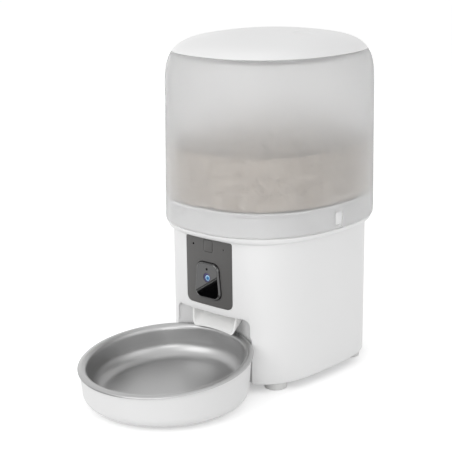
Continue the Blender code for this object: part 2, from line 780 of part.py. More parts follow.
def lip_ring(out_share, up_share):
    height = LIP_START + (LIP_TOP - LIP_START) * up_share
    return between(base_oval(LIP_START), tank_oval(LIP_HALF_WIDTH, LIP_TOP), out_share, height)


def base_rings():
    outer = [base_oval(BASE_BOTTOM, BASE_EDGE), base_oval(BASE_BOTTOM + BASE_EDGE), base_oval(LIP_START)]
    outer += [lip_ring(out_share, up_share) for out_share, up_share in LIP_SHARES]
    outer += [tank_oval(LIP_HALF_WIDTH, LIP_TOP)]
    collar_inner = COLLAR_HALF_WIDTH - COLLAR_WALL
    collar = tank_rings([
        (COLLAR_HALF_WIDTH, LIP_TOP),
        (COLLAR_HALF_WIDTH, COLLAR_TOP),
        (collar_inner, COLLAR_TOP),
        (collar_inner, LIP_TOP),
    ])
    deck_bottom = LIP_TOP - DECK_THICKNESS
    deck = [
        oval(DECK_HOLE_HALF_WIDTH, DECK_HOLE_HALF_DEPTH, TANK_SQUARENESS, height)
        for height in (LIP_TOP, deck_bottom)
    ]
    inner = base_oval(LIP_START, BASE_WALL)
    for point in inner:
        point.z = deck_bottom
    return outer + collar + deck + [inner, base_oval(BASE_BOTTOM, BASE_WALL)]


def recess_outline(grow):
    """The recess seen from the front: its foot is flared past its upper sides, which clears the bowl's rim."""
    half, top = RECESS_HALF_WIDTH + grow, RECESS_TOP + grow
    flare = half + RIM_RELIEF_WIDTH
    foot, bend = -OVERRUN, RIM_RELIEF_TOP - RIM_RELIEF_WIDTH
    corners = [(-flare, foot), (flare, foot), (flare, bend), (half, RIM_RELIEF_TOP)]
    corners += [(half, top), (-half, top), (-half, RIM_RELIEF_TOP), (-flare, bend)]
    return rounded(
        corners, [0, 0, 0, 0, RECESS_CORNER + grow, RECESS_CORNER + grow, 0, 0], RECESS_CORNER_STEPS
    )


def recess_slab(grow, near, far):
    return skin([[Vector((x, y, z)) for x, z in recess_outline(grow)] for y in (near, far)])


def bowl_cylinder(grow, name, axis):
    radius = RIM_RADIUS + RECESS_CLEARANCE + grow
    cylinder = moved(rod(radius, -OVERRUN, RECESS_TOP + RECESS_WALL + OVERRUN, 2 * SEGMENTS), y=-BOWL_OFFSET)
    return place_mesh(name, cylinder, parent=axis)


def make_base(axis):
    shell = place_mesh("base_shell", skin(base_rings(), True), white("base"), parent=axis)
    front, rear = -BASE_HALF_DEPTH - OVERRUN, -BASE_HALF_DEPTH / 2
    pocket = place_mesh("pocket_block", recess_slab(RECESS_WALL, front, rear), parent=axis)
    common(pocket, bowl_cylinder(RECESS_WALL, "pocket_cylinder", axis))
    inside = [base_oval(BASE_BOTTOM, BASE_WALL / 2), base_oval(RECESS_TOP + 2 * RECESS_WALL, BASE_WALL / 2)]
    common(pocket, place_mesh("pocket_inside", skin(inside), parent=axis))
    bosses = place_mesh(
        "boss_block", merged(*screw_posts(BOSS_RADIUS, PLATE_TOP + GAP, BOSS_HEIGHT)), parent=axis
    )
    join(shell, pocket, bosses)
    small = screw_posts(SCREW_RADIUS + GAP, BASE_BOTTOM, BOSS_HEIGHT + OVERRUN, SMALL_SIDES)
    inlet = along_y(rod(INLET_RADIUS + GAP, -OVERRUN, BASE_WALL + OVERRUN), 1)
    small.append(moved(inlet, y=inner_rear(INLET_HEIGHT), z=INLET_HEIGHT))
    near, far = COLLAR_HALF_WIDTH - COLLAR_WALL - OVERRUN, COLLAR_HALF_WIDTH + GAP
    small += [catch_shape(side, FIT, near, far) for side in (-1, 1)]
    recess = place_mesh("recess_cutter", recess_slab(0, 2 * front, rear), parent=axis)
    common(recess, bowl_cylinder(0, "recess_cylinder", axis))
    cut(shell, place_mesh("small_cutter", merged(*small), parent=axis), recess, *panel_cutters(axis))
    cut(shell, place_mesh("chute_cutter", chute_block(FIT), parent=axis))


def inner_rear(height):
    """How far back the base's inner wall stands on the centre line."""
    share = (height - BASE_BOTTOM) / (LIP_START - BASE_BOTTOM)
    return BASE_HALF_DEPTH + (BASE_TOP_HALF_DEPTH - BASE_HALF_DEPTH) * share - BASE_WALL


def screw_places():
    reach = BASE_HALF_WIDTH - BOSS_INSET
    return [(side * reach, end * BOSS_OFFSET_Y) for side in (-1, 1) for end in (-1, 1)]


def screw_posts(radius, low, high, sides=ROUND_SIDES):
    return [moved(rod(radius, low, high, sides), x, y) for x, y in screw_places()]


def front_wall(x, height, inset=0.0):
    """Y of the base's front surface at a place, moved inwards by inset."""
    share = (height - BASE_BOTTOM) / (LIP_START - BASE_BOTTOM)
    half_width = BASE_HALF_WIDTH + (BASE_TOP_HALF_WIDTH - BASE_HALF_WIDTH) * share - inset
    half_depth = BASE_HALF_DEPTH + (BASE_TOP_HALF_DEPTH - BASE_HALF_DEPTH) * share - inset
    return -half_depth * (1 - abs(x / half_width) ** BASE_SQUARENESS) ** (1 / BASE_SQUARENESS)


def wall_band(name, outer_inset, inner_inset, axis):
    """A band of the base wall around the panel, between two insets."""
    low, high = PANEL_BOTTOM - OVERRUN, PANEL_TOP + OVERRUN
    rings = [
        base_oval(low, outer_inset),
        base_oval(high, outer_inset),
        base_oval(high, inner_inset),
        base_oval(low, inner_inset),
    ]
    return place_mesh(name, skin(rings, True), parent=axis)


def panel_block(grow, near, far):
    half = PANEL_HALF_WIDTH + grow
    low, high = PANEL_BOTTOM - grow, PANEL_TOP + grow
    bottom, top = PANEL_BOTTOM_CORNER + grow, PANEL_TOP_CORNER + max(grow, 0)
    return front_outline(trapezium(half, half, low, high), (bottom, bottom, top, top), near, far)


def panel_cutters(axis):
    """The rebate that the panel lies in and the opening behind it."""
    near, far = FRONT - OVERRUN, FRONT + 2 * OVERRUN + BASE_WALL
    rebate = place_mesh("rebate_cutter", panel_block(GAP, near, far), parent=axis)
    common(rebate, wall_band("rebate_band", -OVERRUN, PANEL_THICKNESS + GAP, axis))
    opening = place_mesh("opening_cutter", panel_block(-PANEL_LEDGE, near, far), parent=axis)
    button_room = place_mesh("button_room", button_block(FIT, near, far), parent=axis)
    return rebate, opening, button_room


def pod_ring(inset, depth):
    """The pod's outline moved inwards by inset, at depth behind the wall's front."""
    outline = rounded(
        trapezium(
            POD_BOTTOM_HALF_WIDTH - inset, POD_TOP_HALF_WIDTH - inset, POD_BOTTOM + inset, POD_TOP - inset
        ),
        [POD_BOTTOM_CORNER - inset / 2] * 2 + [POD_TOP_CORNER - inset / 2] * 2,
    )
    return [Vector((x, FRONT + depth, z)) for x, z in outline]


def button_block(grow, near, far):
    half = BUTTON_SIZE / 2 + grow
    corners = trapezium(half, half, BUTTON_HEIGHT - half, BUTTON_HEIGHT + half)
    return front_outline(corners, [BUTTON_CORNER + grow] * 4, near, far)


def make_panel(axis):
    near, far = FRONT - OVERRUN, FRONT + 2 * OVERRUN
    panel = place_mesh("front_panel", panel_block(0, near, far), glossy_black("panel"), parent=axis)
    common(panel, wall_band("panel_band", 0, PANEL_THICKNESS, axis))
    board_front = button_board_front()
    posts = []
    for side in (-1, 1):
        outside, inside = side * BUTTON_BOARD_HALF_WIDTH, side * (BUTTON_BOARD_HALF_WIDTH - SWITCH_SIZE / 2)
        low = (min(outside, inside), FRONT + PANEL_THICKNESS / 2 + GAP, BUTTON_BOARD_BOTTOM)
        posts.append(box(low, (max(outside, inside), board_front - GAP, BUTTON_BOARD_BOTTOM + SWITCH_SIZE)))
    join(panel, place_mesh("panel_posts", merged(*posts), parent=axis))
    holes = [
        skin([pod_ring(-GAP, -OVERRUN), pod_ring(-GAP, 2 * OVERRUN)]),
        button_block(GAP, near, far),
        moved(
            along_y(rod(INDICATOR_RADIUS, -2 * OVERRUN, OVERRUN, SMALL_SIDES)),
            -INDICATOR_X,
            FRONT,
            INDICATOR_HEIGHT,
        ),
        moved(
            along_y(rod(MICROPHONE_RADIUS, -2 * OVERRUN, OVERRUN, SMALL_SIDES)),
            MICROPHONE_X,
            FRONT,
            INDICATOR_HEIGHT,
        ),
    ]
    cut(panel, place_mesh("panel_holes", merged(*holes), parent=axis))
    button = button_block(0, FRONT - GAP / 2, FRONT + BUTTON_DEPTH)
    place_mesh("feed_button", button, dark_plastic("button"), parent=axis)
    make_button_board(axis, board_front)


def button_board_front():
    return FRONT + BUTTON_DEPTH + BUTTON_TRAVEL + GAP + BOARD_THICKNESS


def make_button_board(axis, front):
    low = (-BUTTON_BOARD_HALF_WIDTH, front, BUTTON_BOARD_BOTTOM)
    high = (BUTTON_BOARD_HALF_WIDTH, front + BOARD_THICKNESS, PANEL_TOP - BOARD_EDGE_GAP)
    board = place_mesh("button_board", box(low, high), circuit_board("button"), parent=axis)
    half = SWITCH_SIZE / 2
    switch = box(
        (-half, front - BOARD_THICKNESS, BUTTON_HEIGHT - half), (half, front + GAP, BUTTON_HEIGHT + half)
    )
    join(board, place_mesh("switch", switch, parent=axis))
    pipe_front = front_wall(INDICATOR_X, INDICATOR_HEIGHT) + INDICATOR_RECESS
    pipe = along_y(rod(INDICATOR_RADIUS - GAP, 0, front - GAP - pipe_front, SMALL_SIDES))
    pipe = moved(pipe, -INDICATOR_X, front - GAP, INDICATOR_HEIGHT)
    place_mesh("indicator_lens", pipe, acetal("indicator"), parent=axis)
    can_front = front_wall(MICROPHONE_X, INDICATOR_HEIGHT, PANEL_THICKNESS) + FIT
    can = along_y(rod(MICROPHONE_CAN_RADIUS, 0, front - GAP - can_front, SMALL_SIDES))
    can = moved(can, MICROPHONE_X, front - GAP, INDICATOR_HEIGHT)
    place_mesh("microphone", can, steel("microphone"), parent=axis)


def make_pod(axis):
    face = -POD_PROUD
    rings = [pod_ring(0, POD_DEPTH)]
    rings += [
        pod_ring(POD_DRAFT * inset, PANEL_THICKNESS / 2 + (face - PANEL_THICKNESS / 2) * out)
        for inset, out in POD_SHARES
    ]
    pod = place_mesh("pod_housing", skin(rings), dark_plastic("pod"), parent=axis)
    floor = face + WINDOW_THICKNESS + GAP
    hollow = skin([pod_ring(POD_WALL, POD_DEPTH + OVERRUN), pod_ring(POD_WALL, PANEL_THICKNESS)])
    rebate = skin(
        [pod_ring(POD_DRAFT + WINDOW_INSET, floor), pod_ring(POD_DRAFT + WINDOW_INSET, face - OVERRUN)]
    )
    barrel_radius = LENS_RADIUS + BARREL_WALL
    bores = []
    for radius, height in ((barrel_radius, LENS_HEIGHT), (SENSOR_RADIUS, SENSOR_HEIGHT)):
        bore = along_y(rod(radius + GAP, -OVERRUN, POD_PROUD + OVERRUN, BORE_SIDES))
        bores.append(moved(bore, 0, FRONT, height))
    bore_tool = place_mesh("pod_bores", merged(*bores), parent=axis)
    cut(
        pod,
        place_mesh("pod_hollow", hollow, parent=axis),
        place_mesh("pod_rebate", rebate, parent=axis),
        bore_tool,
    )
    inset = POD_DRAFT + WINDOW_INSET + GAP
    window = skin([pod_ring(inset, face + WINDOW_THICKNESS), pod_ring(inset, face)])
    window = place_mesh("pod_window", window, glossy_black("window"), parent=axis)
    cut(window, bore_tool)
    make_lens(axis, barrel_radius, face)
    sensor = along_y(rod(SENSOR_RADIUS, 0, POD_PROUD - GAP, SMALL_SIDES))
    place_mesh("light_sensor", moved(sensor, 0, FRONT, SENSOR_HEIGHT), dark_plastic("sensor"), parent=axis)


def make_lens(axis, barrel_radius, face):
    """The lens barrel from the pod's face back to the camera's board, with its domed glass."""
    back, front = -POD_DEPTH, -face - GAP
    barrel = turned(
        [(barrel_radius, back), (barrel_radius, front), (LENS_RADIUS, front), (LENS_RADIUS, back)],
        BORE_SIDES,
        True,
    )
    barrel = moved(along_y(barrel), 0, FRONT, LENS_HEIGHT)
    place_mesh("lens_barrel", barrel, glossy_black("barrel"), parent=axis)
    radius = LENS_RADIUS - GAP
    top = front - GAP
    glass = [(0, top - radius), (radius, top - radius)]
    glass += [
        (radius * share, top - radius * (1 - math.sqrt(1 - share**2)) / 2) for share in (1.0, 0.85, 0.6, 0.3)
    ]
    glass = moved(along_y(turned(glass + [(0, top)], BORE_SIDES)), 0, FRONT, LENS_HEIGHT)
    place_mesh("lens_glass", glass, material("lens", (0.05, 0.12, 0.25), 0.05), parent=axis)
    low = (-POD_TOP_HALF_WIDTH, FRONT + POD_DEPTH + GAP, POD_BOTTOM + POD_WALL)
    high = (POD_TOP_HALF_WIDTH, low[1] + BOARD_THICKNESS, POD_TOP - POD_WALL)
    place_mesh("camera_board", box(low, high), circuit_board("camera"), parent=axis)


def chute_block(grow, overrun=0.0):
    """The chute's outer block, grown by a margin, or its inner room when the margin is negative."""
    steep = grow * math.hypot(1, CHUTE_SLOPE)
    lip_y, lip_z = -CHUTE_LIP_Y - overrun - max(grow, 0), CHUTE_LIP_HEIGHT - steep - overrun * CHUTE_SLOPE
    lip_z -= max(grow, 0) * CHUTE_SLOPE
    brow_y = lip_y + CHUTE_FRONT_LEAN
    brow_z = lip_z + CHUTE_FRONT_HEIGHT + 2 * steep
    top = HOUSING_BOTTOM - GAP + max(overrun, 0)
    rear = lip_y + (CHUTE_BEND_HEIGHT - lip_z) / CHUTE_SLOPE
    fore = brow_y + (CHUTE_BEND_HEIGHT - brow_z) / CHUTE_SLOPE
    low_half, high_half, top_half = (
        size + grow for size in (CHUTE_LIP_HALF_WIDTH, CHUTE_CEILING_HALF_WIDTH, CHUTE_TOP_HALF_WIDTH)
    )
    rings = []
    for y_low, z_low, y_high, z_high, low, high in (
        (lip_y, lip_z, brow_y, brow_z, low_half, high_half),
        (rear, CHUTE_BEND_HEIGHT, fore, CHUTE_BEND_HEIGHT, top_half, top_half),
        (rear, top, fore, top, top_half, top_half),
    ):
        floor = [Vector((-low, y_low, z_low)), Vector((low, y_low, z_low))]
        ceiling = [Vector((high, y_high, z_high)), Vector((-high, y_high, z_high))]
        rings.append(floor + ceiling)
    return skin(rings)


def make_chute(axis):
    chute = place_mesh("chute", chute_block(0), white("chute"), parent=axis)
    cut(chute, place_mesh("chute_room", chute_block(-CHUTE_WALL, OVERRUN), parent=axis))
    half = CHUTE_LIP_HALF_WIDTH - CHUTE_WALL
    radius = (half**2 + CHUTE_LIP_SAG**2) / (2 * CHUTE_LIP_SAG)
    top = CHUTE_LIP_HEIGHT + CHUTE_LIP_SAG * CHUTE_SLOPE + 2 * CHUTE_WALL
    bite = rod(radius, CHUTE_LIP_HEIGHT - OVERRUN, top, 2 * SEGMENTS)
    cut(chute, place_mesh("lip_cutter", moved(bite, y=CHUTE_LIP_SAG - CHUTE_LIP_Y - radius), parent=axis))


def arc(centre, radii, first, last, steps):
    """Points on an elliptic arc between two angles in degrees."""
    points = []
    for step in range(steps + 1):
        angle = math.radians(first + (last - first) * step / steps)
        points.append((centre[0] + radii[0] * math.cos(angle), centre[1] + radii[1] * math.sin(angle)))
    return points


def make_bowl(bowl_axis):
    wall_top = RIM_RADIUS - RIM_WIDTH
    wall_foot = wall_top - BOWL_TAPER
    outer_fillet = BOWL_FILLET + STEEL_THICKNESS
    centre = (wall_foot - BOWL_FILLET, BOWL_FILLET - BOWL_DEPTH)
    profile = [(0, -BOWL_DEPTH - STEEL_THICKNESS)] + arc(
        centre, (outer_fillet, outer_fillet), -90, 0, FILLET_STEPS
    )
    profile += [(wall_top + STEEL_THICKNESS, RIM_CROWN - STEEL_THICKNESS), (RIM_RADIUS, -STEEL_THICKNESS)]
    profile += [(RIM_RADIUS, 0), (wall_top, RIM_CROWN)]
    profile += arc(centre, (BOWL_FILLET, BOWL_FILLET), 0, -90, FILLET_STEPS) + [(0, -BOWL_DEPTH)]
    place_mesh(
        "steel_bowl", turned(profile, SEGMENTS), steel("bowl"), (0, 0, RIM_HEIGHT), bowl_axis, BOWL_TILT
    )
    slope = math.tan(BOWL_TILT)
    rim = RIM_HEIGHT - STEEL_THICKNESS / math.cos(BOWL_TILT)
    foot = TRAY_RADIUS - TRAY_DRAFT
    flat = foot - TRAY_ROUNDING_WIDTH
    room = wall_top + STEEL_THICKNESS + TRAY_BOWL_CLEARANCE
    outside = arc(
        (flat, TRAY_ROUNDING_HEIGHT), (TRAY_ROUNDING_WIDTH, TRAY_ROUNDING_HEIGHT), -90, 0, ROUNDING_STEPS
    )
    inner_radii = (TRAY_ROUNDING_WIDTH - TRAY_WALL, TRAY_ROUNDING_HEIGHT - TRAY_FLOOR)
    inside = arc((flat, TRAY_ROUNDING_HEIGHT), inner_radii, 0, -90, ROUNDING_STEPS)
    rings = [circle(radius, height, SEGMENTS) for radius, height in outside]
    rings += [circle(TRAY_RADIUS, rim, SEGMENTS, slope), circle(room, rim, SEGMENTS, slope)]
    rings += [circle(radius, height, SEGMENTS) for radius, height in inside]
    place_mesh("bowl_tray", skin(rings), white("tray"), parent=bowl_axis)


def ring_points(radius, angle):
    return Vector((radius * math.cos(angle), radius * math.sin(angle)))


def rotor_outline(reach):
    """A hub with flat-ended paddles at even angles."""
    points = []
    half = PADDLE_THICKNESS / 2
    foot = math.sqrt(ROTOR_HUB_RADIUS**2 - half**2)
    for step in range(PADDLES):
        angle = 2 * math.pi * step / PADDLES
        turn = Matrix.Rotation(angle, 2)
        points += [
            turn @ Vector(place) for place in ((foot, -half), (reach, -half), (reach, half), (foot, half))
        ]
        points.append(ring_points(ROTOR_HUB_RADIUS, angle + math.pi / PADDLES))
    return points


def gear_outline(teeth, turn):
    pitch = GEAR_MODULE * teeth / 2
    root, tip = pitch - GEAR_MODULE * DEDENDUM_SHARE, pitch + GEAR_MODULE * ADDENDUM_SHARE
    spacing = 2 * math.pi / teeth
    points = []
    for tooth in range(teeth):
        middle = turn + spacing * tooth
        for radius, share in (
            (root, -TOOTH_ROOT_SHARE),
            (tip, -TOOTH_TIP_SHARE),
            (tip, TOOTH_TIP_SHARE),
            (root, TOOTH_ROOT_SHARE),
        ):
            points.append(ring_points(radius, middle + share * spacing / 2))
    return points


def make_metering(axis):
    inner = HOUSING_RADIUS - HOUSING_WALL
    floor_top = HOUSING_BOTTOM + HOUSING_FLOOR
    flange_bottom = HOUSING_TOP - HOUSING_FLANGE_THICKNESS
    profile = [(0, HOUSING_BOTTOM), (HOUSING_RADIUS, HOUSING_BOTTOM), (HOUSING_RADIUS, flange_bottom)]
    profile += [
        (HOUSING_FLANGE_RADIUS, flange_bottom), (HOUSING_FLANGE_RADIUS, HOUSING_TOP), (inner, HOUSING_TOP)
    ]
    profile += [(inner, floor_top), (0, floor_top)]
    housing = place_mesh("metering_housing", turned(profile, SEGMENTS), white("housing"), parent=axis)
    low, high = HOUSING_BOTTOM - OVERRUN, floor_top + OVERRUN
    outlet = box((-OUTLET_HALF_WIDTH, -OUTLET_FAR, low), (OUTLET_HALF_WIDTH, -OUTLET_NEAR, high))
    cut(
        housing,
        place_mesh(
            "outlet_cutter", merged(outlet, rod(BUSH_RADIUS + GAP, low, high, BORE_SIDES)), parent=axis
        ),
    )
    place_mesh(
        "rotor",
        plan_prism(rotor_outline(inner - ROTOR_CLEARANCE), ROTOR_BOTTOM, ROTOR_TOP),
        rubber("rotor"),
        parent=axis,
    )
    bore = rod(SHAFT_RADIUS + GAP, ROTOR_BOTTOM - OVERRUN, ROTOR_TOP + OVERRUN, BORE_SIDES)
    cut(bpy.data.objects["rotor"], place_mesh("rotor_bore", bore, parent=axis))
    make_cover(axis, inner - GAP)
    bush_inner = SHAFT_RADIUS + RUNNING
    bush = [
        (BUSH_RADIUS, HOUSING_BOTTOM),
        (BUSH_RADIUS, floor_top),
        (bush_inner, floor_top),
        (bush_inner, HOUSING_BOTTOM),
    ]
    brass = material("bush_bronze", (0.55, 0.38, 0.16), 0.35, 1.0)
    place_mesh("shaft_bush", turned(bush, BORE_SIDES, True), brass, parent=axis)
    place_mesh(
        "rotor_shaft", rod(SHAFT_RADIUS, bracket_bottom(), ROTOR_TOP, BORE_SIDES), steel("shaft"), parent=axis
    )
    make_agitator(axis)
    hole = rod(HOUSING_RADIUS + FIT, low, HOUSING_TOP, SEGMENTS)
    frame_top = flange_bottom - GAP
    inset = BASE_WALL + GAP
    plate = skin([base_oval(frame_top - FRAME_THICKNESS, inset), base_oval(frame_top, inset)])
    frame = place_mesh("inner_frame", plate, white("frame"), parent=axis)
    front = box(
        (-BASE_HALF_WIDTH, -BASE_HALF_DEPTH - OVERRUN, low), (BASE_HALF_WIDTH, -FRAME_FRONT, HOUSING_TOP)
    )
    cut(frame, place_mesh("frame_cutter", merged(hole, front), parent=axis))


def make_cover(axis, outer):
    """The fixed sector over the outlet, so that only the rotor carries food round to it."""
    steps = 20
    angles = [-math.pi / 2 + COVER_SPREAD * (step / steps - 0.5) for step in range(steps + 1)]
    outline = [ring_points(outer, angle) for angle in angles] + [
        ring_points(COVER_INNER_RADIUS, angle) for angle in angles[::-1]
    ]
    low = ROTOR_TOP + GAP
    place_mesh("metering_cover", plan_prism(outline, low, low + COVER_THICKNESS), white("cover"), parent=axis)


def make_agitator(axis):
    bottom = ROTOR_TOP + GAP
    top = bottom + AGITATOR_HEIGHT
    dome = arc((0, bottom), (AGITATOR_RADIUS, AGITATOR_HEIGHT), 0, 90, 6)[:-1]
    agitator = place_mesh(
        "agitator", turned([(0, bottom)] + dome + [(0, top)], BORE_SIDES), acetal("agitator"), parent=axis
    )
    arm_low = HOUSING_TOP + 2 * AGITATOR_ARM_HEIGHT / 3
    for step in range(AGITATOR_ARMS):
        arm = box(
            (0, -AGITATOR_ARM_WIDTH / 2, arm_low),
            (AGITATOR_ARM_REACH, AGITATOR_ARM_WIDTH / 2, arm_low + AGITATOR_ARM_HEIGHT),
        )
        bmesh.ops.rotate(
            arm, verts=arm.verts[:], matrix=Matrix.Rotation(2 * math.pi * step / AGITATOR_ARMS, 3, "Z")
        )
        join(agitator, place_mesh("arm", arm, parent=axis))


def bracket_bottom():
    return GEAR_BOTTOM - BRACKET_CLEARANCE - BRACKET_THICKNESS


def make_drive(axis):
    top = GEAR_BOTTOM + GEAR_HEIGHT
    half_tooth = math.pi / DRIVE_TEETH
    gear = plan_prism(gear_outline(DRIVE_TEETH, half_tooth), GEAR_BOTTOM, top)
    gear = place_mesh("drive_gear", gear, acetal("drive_gear"), parent=axis)
    cut(
        gear,
        place_mesh(
            "gear_bore",
            rod(SHAFT_RADIUS + GAP, GEAR_BOTTOM - OVERRUN, top + OVERRUN, BORE_SIDES),
            parent=axis,
        ),
    )
    at_pinion = (0, PINION_Y, 0)
    pinion = plan_prism(gear_outline(PINION_TEETH, math.pi / 2), GEAR_BOTTOM, top)
    pinion = place_mesh("motor_pinion", pinion, steel("pinion"), at_pinion, axis)
    low, high = bracket_bottom(), bracket_bottom() + BRACKET_THICKNESS
    stub_radius = PINION_PITCH_RADIUS / 2
    join(
        pinion,
        place_mesh(
            "pinion_stub", rod(stub_radius, low, GEAR_BOTTOM + OVERRUN, SMALL_SIDES), None, at_pinion, axis
        ),
    )
    plate = box((-BRACKET_HALF_WIDTH, -BRACKET_FRONT, low), (BRACKET_HALF_WIDTH, BRACKET_REAR, high))
    bracket = place_mesh("drive_bracket", plate, dark_plastic("bracket"), parent=axis)
    reach = HOUSING_RADIUS - 2 * BRACKET_POST_RADIUS
    post_x = BRACKET_HALF_WIDTH - 2 * BRACKET_POST_RADIUS
    post_y = math.sqrt(reach**2 - post_x**2)
    for x, y in ((-post_x, 0), (post_x, 0), (-post_x, post_y), (post_x, post_y)):
        post = rod(BRACKET_POST_RADIUS, high - OVERRUN / 2, HOUSING_BOTTOM - GAP, SMALL_SIDES)
        join(bracket, place_mesh("bracket_post", moved(post, x, y), parent=axis))
    screws = motor_screw_places()
    holes = [rod(SHAFT_RADIUS + RUNNING, low - OVERRUN, high + OVERRUN, BORE_SIDES)]
    holes.append(moved(rod(stub_radius + FIT, low - OVERRUN, high + OVERRUN, BORE_SIDES), y=PINION_Y))
    holes += [
        moved(rod(SCREW_RADIUS + GAP, low - OVERRUN, high + OVERRUN, SMALL_SIDES), x, y) for x, y in screws
    ]
    cut(bracket, place_mesh("bracket_holes", merged(*holes), parent=axis))
    make_motor(axis, low - GAP, screws)


def motor_screw_places():
    return [(side * MOTOR_SCREW_OFFSET_X, PINION_Y + MOTOR_SCREW_OFFSET_Y) for side in (-1, 1)]


def make_motor(axis, top, screws):
    gearbox_bottom = top - MOTOR_HEIGHT
    can_bottom = gearbox_bottom - MOTOR_CAN_HEIGHT
    profile = [(0, can_bottom), (MOTOR_CAN_RADIUS, can_bottom), (MOTOR_CAN_RADIUS, gearbox_bottom)]
    profile += [(MOTOR_RADIUS, gearbox_bottom), (MOTOR_RADIUS, top), (0, top)]
    motor = place_mesh("gear_motor", turned(profile), steel("motor"), (0, PINION_Y, 0), axis)
    seat = top + GAP + BRACKET_THICKNESS + GAP
    reach = top - SCREW_LENGTH / 2
    for number, (x, y) in enumerate(screws, 1):
        bore = moved(rod(SCREW_RADIUS + GAP, reach - GAP, top + OVERRUN, SMALL_SIDES), x, y)
        cut(motor, place_mesh("motor_screw_bore", bore, parent=axis))
        profile = [(0, reach), (SCREW_RADIUS, reach), (SCREW_RADIUS, seat), (MOTOR_SCREW_HEAD_RADIUS, seat)]
        profile += [
            (MOTOR_SCREW_HEAD_RADIUS, seat + SCREW_HEAD_HEIGHT / 2), (0, seat + SCREW_HEAD_HEIGHT / 2)
        ]
        place_mesh(
            f"motor_screw_{number}", turned(profile, SMALL_SIDES), steel("motor_screw"), (x, y, 0), axis
        )


def make_underside(axis):
    plate = skin([base_oval(BASE_BOTTOM, BASE_WALL + GAP), base_oval(PLATE_TOP, BASE_WALL + GAP)])
    plate = place_mesh("bottom_plate", plate, white("plate"), parent=axis)
    low, high = BASE_BOTTOM - OVERRUN, PLATE_TOP + OVERRUN
    cut(plate, bowl_cylinder(RECESS_WALL + GAP, "plate_cylinder", axis))
    bay_low = (-BAY_HALF_LENGTH, CELL_ROW_Y - BAY_HALF_DEPTH, low)
    openings = [box(bay_low, (BAY_HALF_LENGTH, CELL_ROW_Y + BAY_HALF_DEPTH, high))]
    openings += screw_posts(SCREW_RADIUS + GAP, low, high, SMALL_SIDES)
    for hole in range(SPEAKER_HOLES + 1):
        offset = ring_points(SPEAKER_HOLE_RING if hole else 0, 2 * math.pi * hole / SPEAKER_HOLES)
        hole = rod(SPEAKER_HOLE_RADIUS, low, high, SPEAKER_HOLE_SIDES)
        openings.append(moved(hole, SPEAKER_X + offset.x, SPEAKER_Y + offset.y))
    cut(plate, place_mesh("plate_openings", merged(*openings), parent=axis))
    make_battery_door(axis, plate)
    for number, (x, y) in enumerate(foot_places(), 1):
        top = BASE_BOTTOM - GAP
        foot = turned([(FOOT_RADIUS - FOOT_CHAMFER, 0), (FOOT_RADIUS, FOOT_CHAMFER), (FOOT_RADIUS, top)])
        place_mesh(f"foot_{number}", foot, rubber("foot"), (x, y, 0), axis)
    seat = BASE_BOTTOM - GAP
    profile = [
        (0, seat - SCREW_HEAD_HEIGHT),
        (SCREW_HEAD_RADIUS, seat - SCREW_HEAD_HEIGHT),
        (SCREW_HEAD_RADIUS, seat),
    ]
    profile += [(SCREW_RADIUS, seat), (SCREW_RADIUS, seat + SCREW_LENGTH), (0, seat + SCREW_LENGTH)]
    for number, (x, y) in enumerate(screw_places(), 1):
        place_mesh(f"base_screw_{number}", turned(profile, SMALL_SIDES), steel("screw"), (x, y, 0), axis)
    speaker_bottom = PLATE_TOP + GAP
    speaker = [
        (0, speaker_bottom),
        (SPEAKER_RADIUS, speaker_bottom),
        (SPEAKER_RADIUS, speaker_bottom + SPEAKER_HEIGHT / 3),
    ]
    speaker += [(SPEAKER_RADIUS / 2, speaker_bottom + SPEAKER_HEIGHT), (0, speaker_bottom + SPEAKER_HEIGHT)]
    place_mesh(
        "speaker", turned(speaker, BORE_SIDES), dark_plastic("speaker"), (SPEAKER_X, SPEAKER_Y, 0), axis
    )


def foot_places():
    return [(side * FOOT_X, y) for y in (-FOOT_FRONT_Y, FOOT_REAR_Y) for side in (-1, 1)]


def make_battery_door(axis, plate):
    """The sliding door over the battery opening, held by a rail on each side."""
    half_width, half_depth = BAY_HALF_LENGTH + DOOR_OVERLAP, BAY_HALF_DEPTH + DOOR_OVERLAP
    bottom = DOOR_TOP - DOOR_THICKNESS
    low, high = (-half_width, CELL_ROW_Y - half_depth, bottom), (
        half_width, CELL_ROW_Y + half_depth, DOOR_TOP
    )
    place_mesh("battery_door", box(low, high), white("door"), parent=axis)
    lip_top = bottom - GAP
    for side in (-1, 1):
        inside, outside = half_width + FIT, half_width + FIT + RAIL_WALL
        tip = inside - DOOR_OVERLAP / 2
        outline = [(inside, PLATE_TOP - PLATE_THICKNESS / 2), (outside, PLATE_TOP - PLATE_THICKNESS / 2)]
        outline += [
            (outside, lip_top - RAIL_LIP), (tip, lip_top - RAIL_LIP), (tip, lip_top), (inside, lip_top)
        ]
        rail = skin([[Vector((side * x, y, z)) for x, z in outline] for y in (low[1], high[1])])
        join(plate, place_mesh("rail", rail, parent=axis))


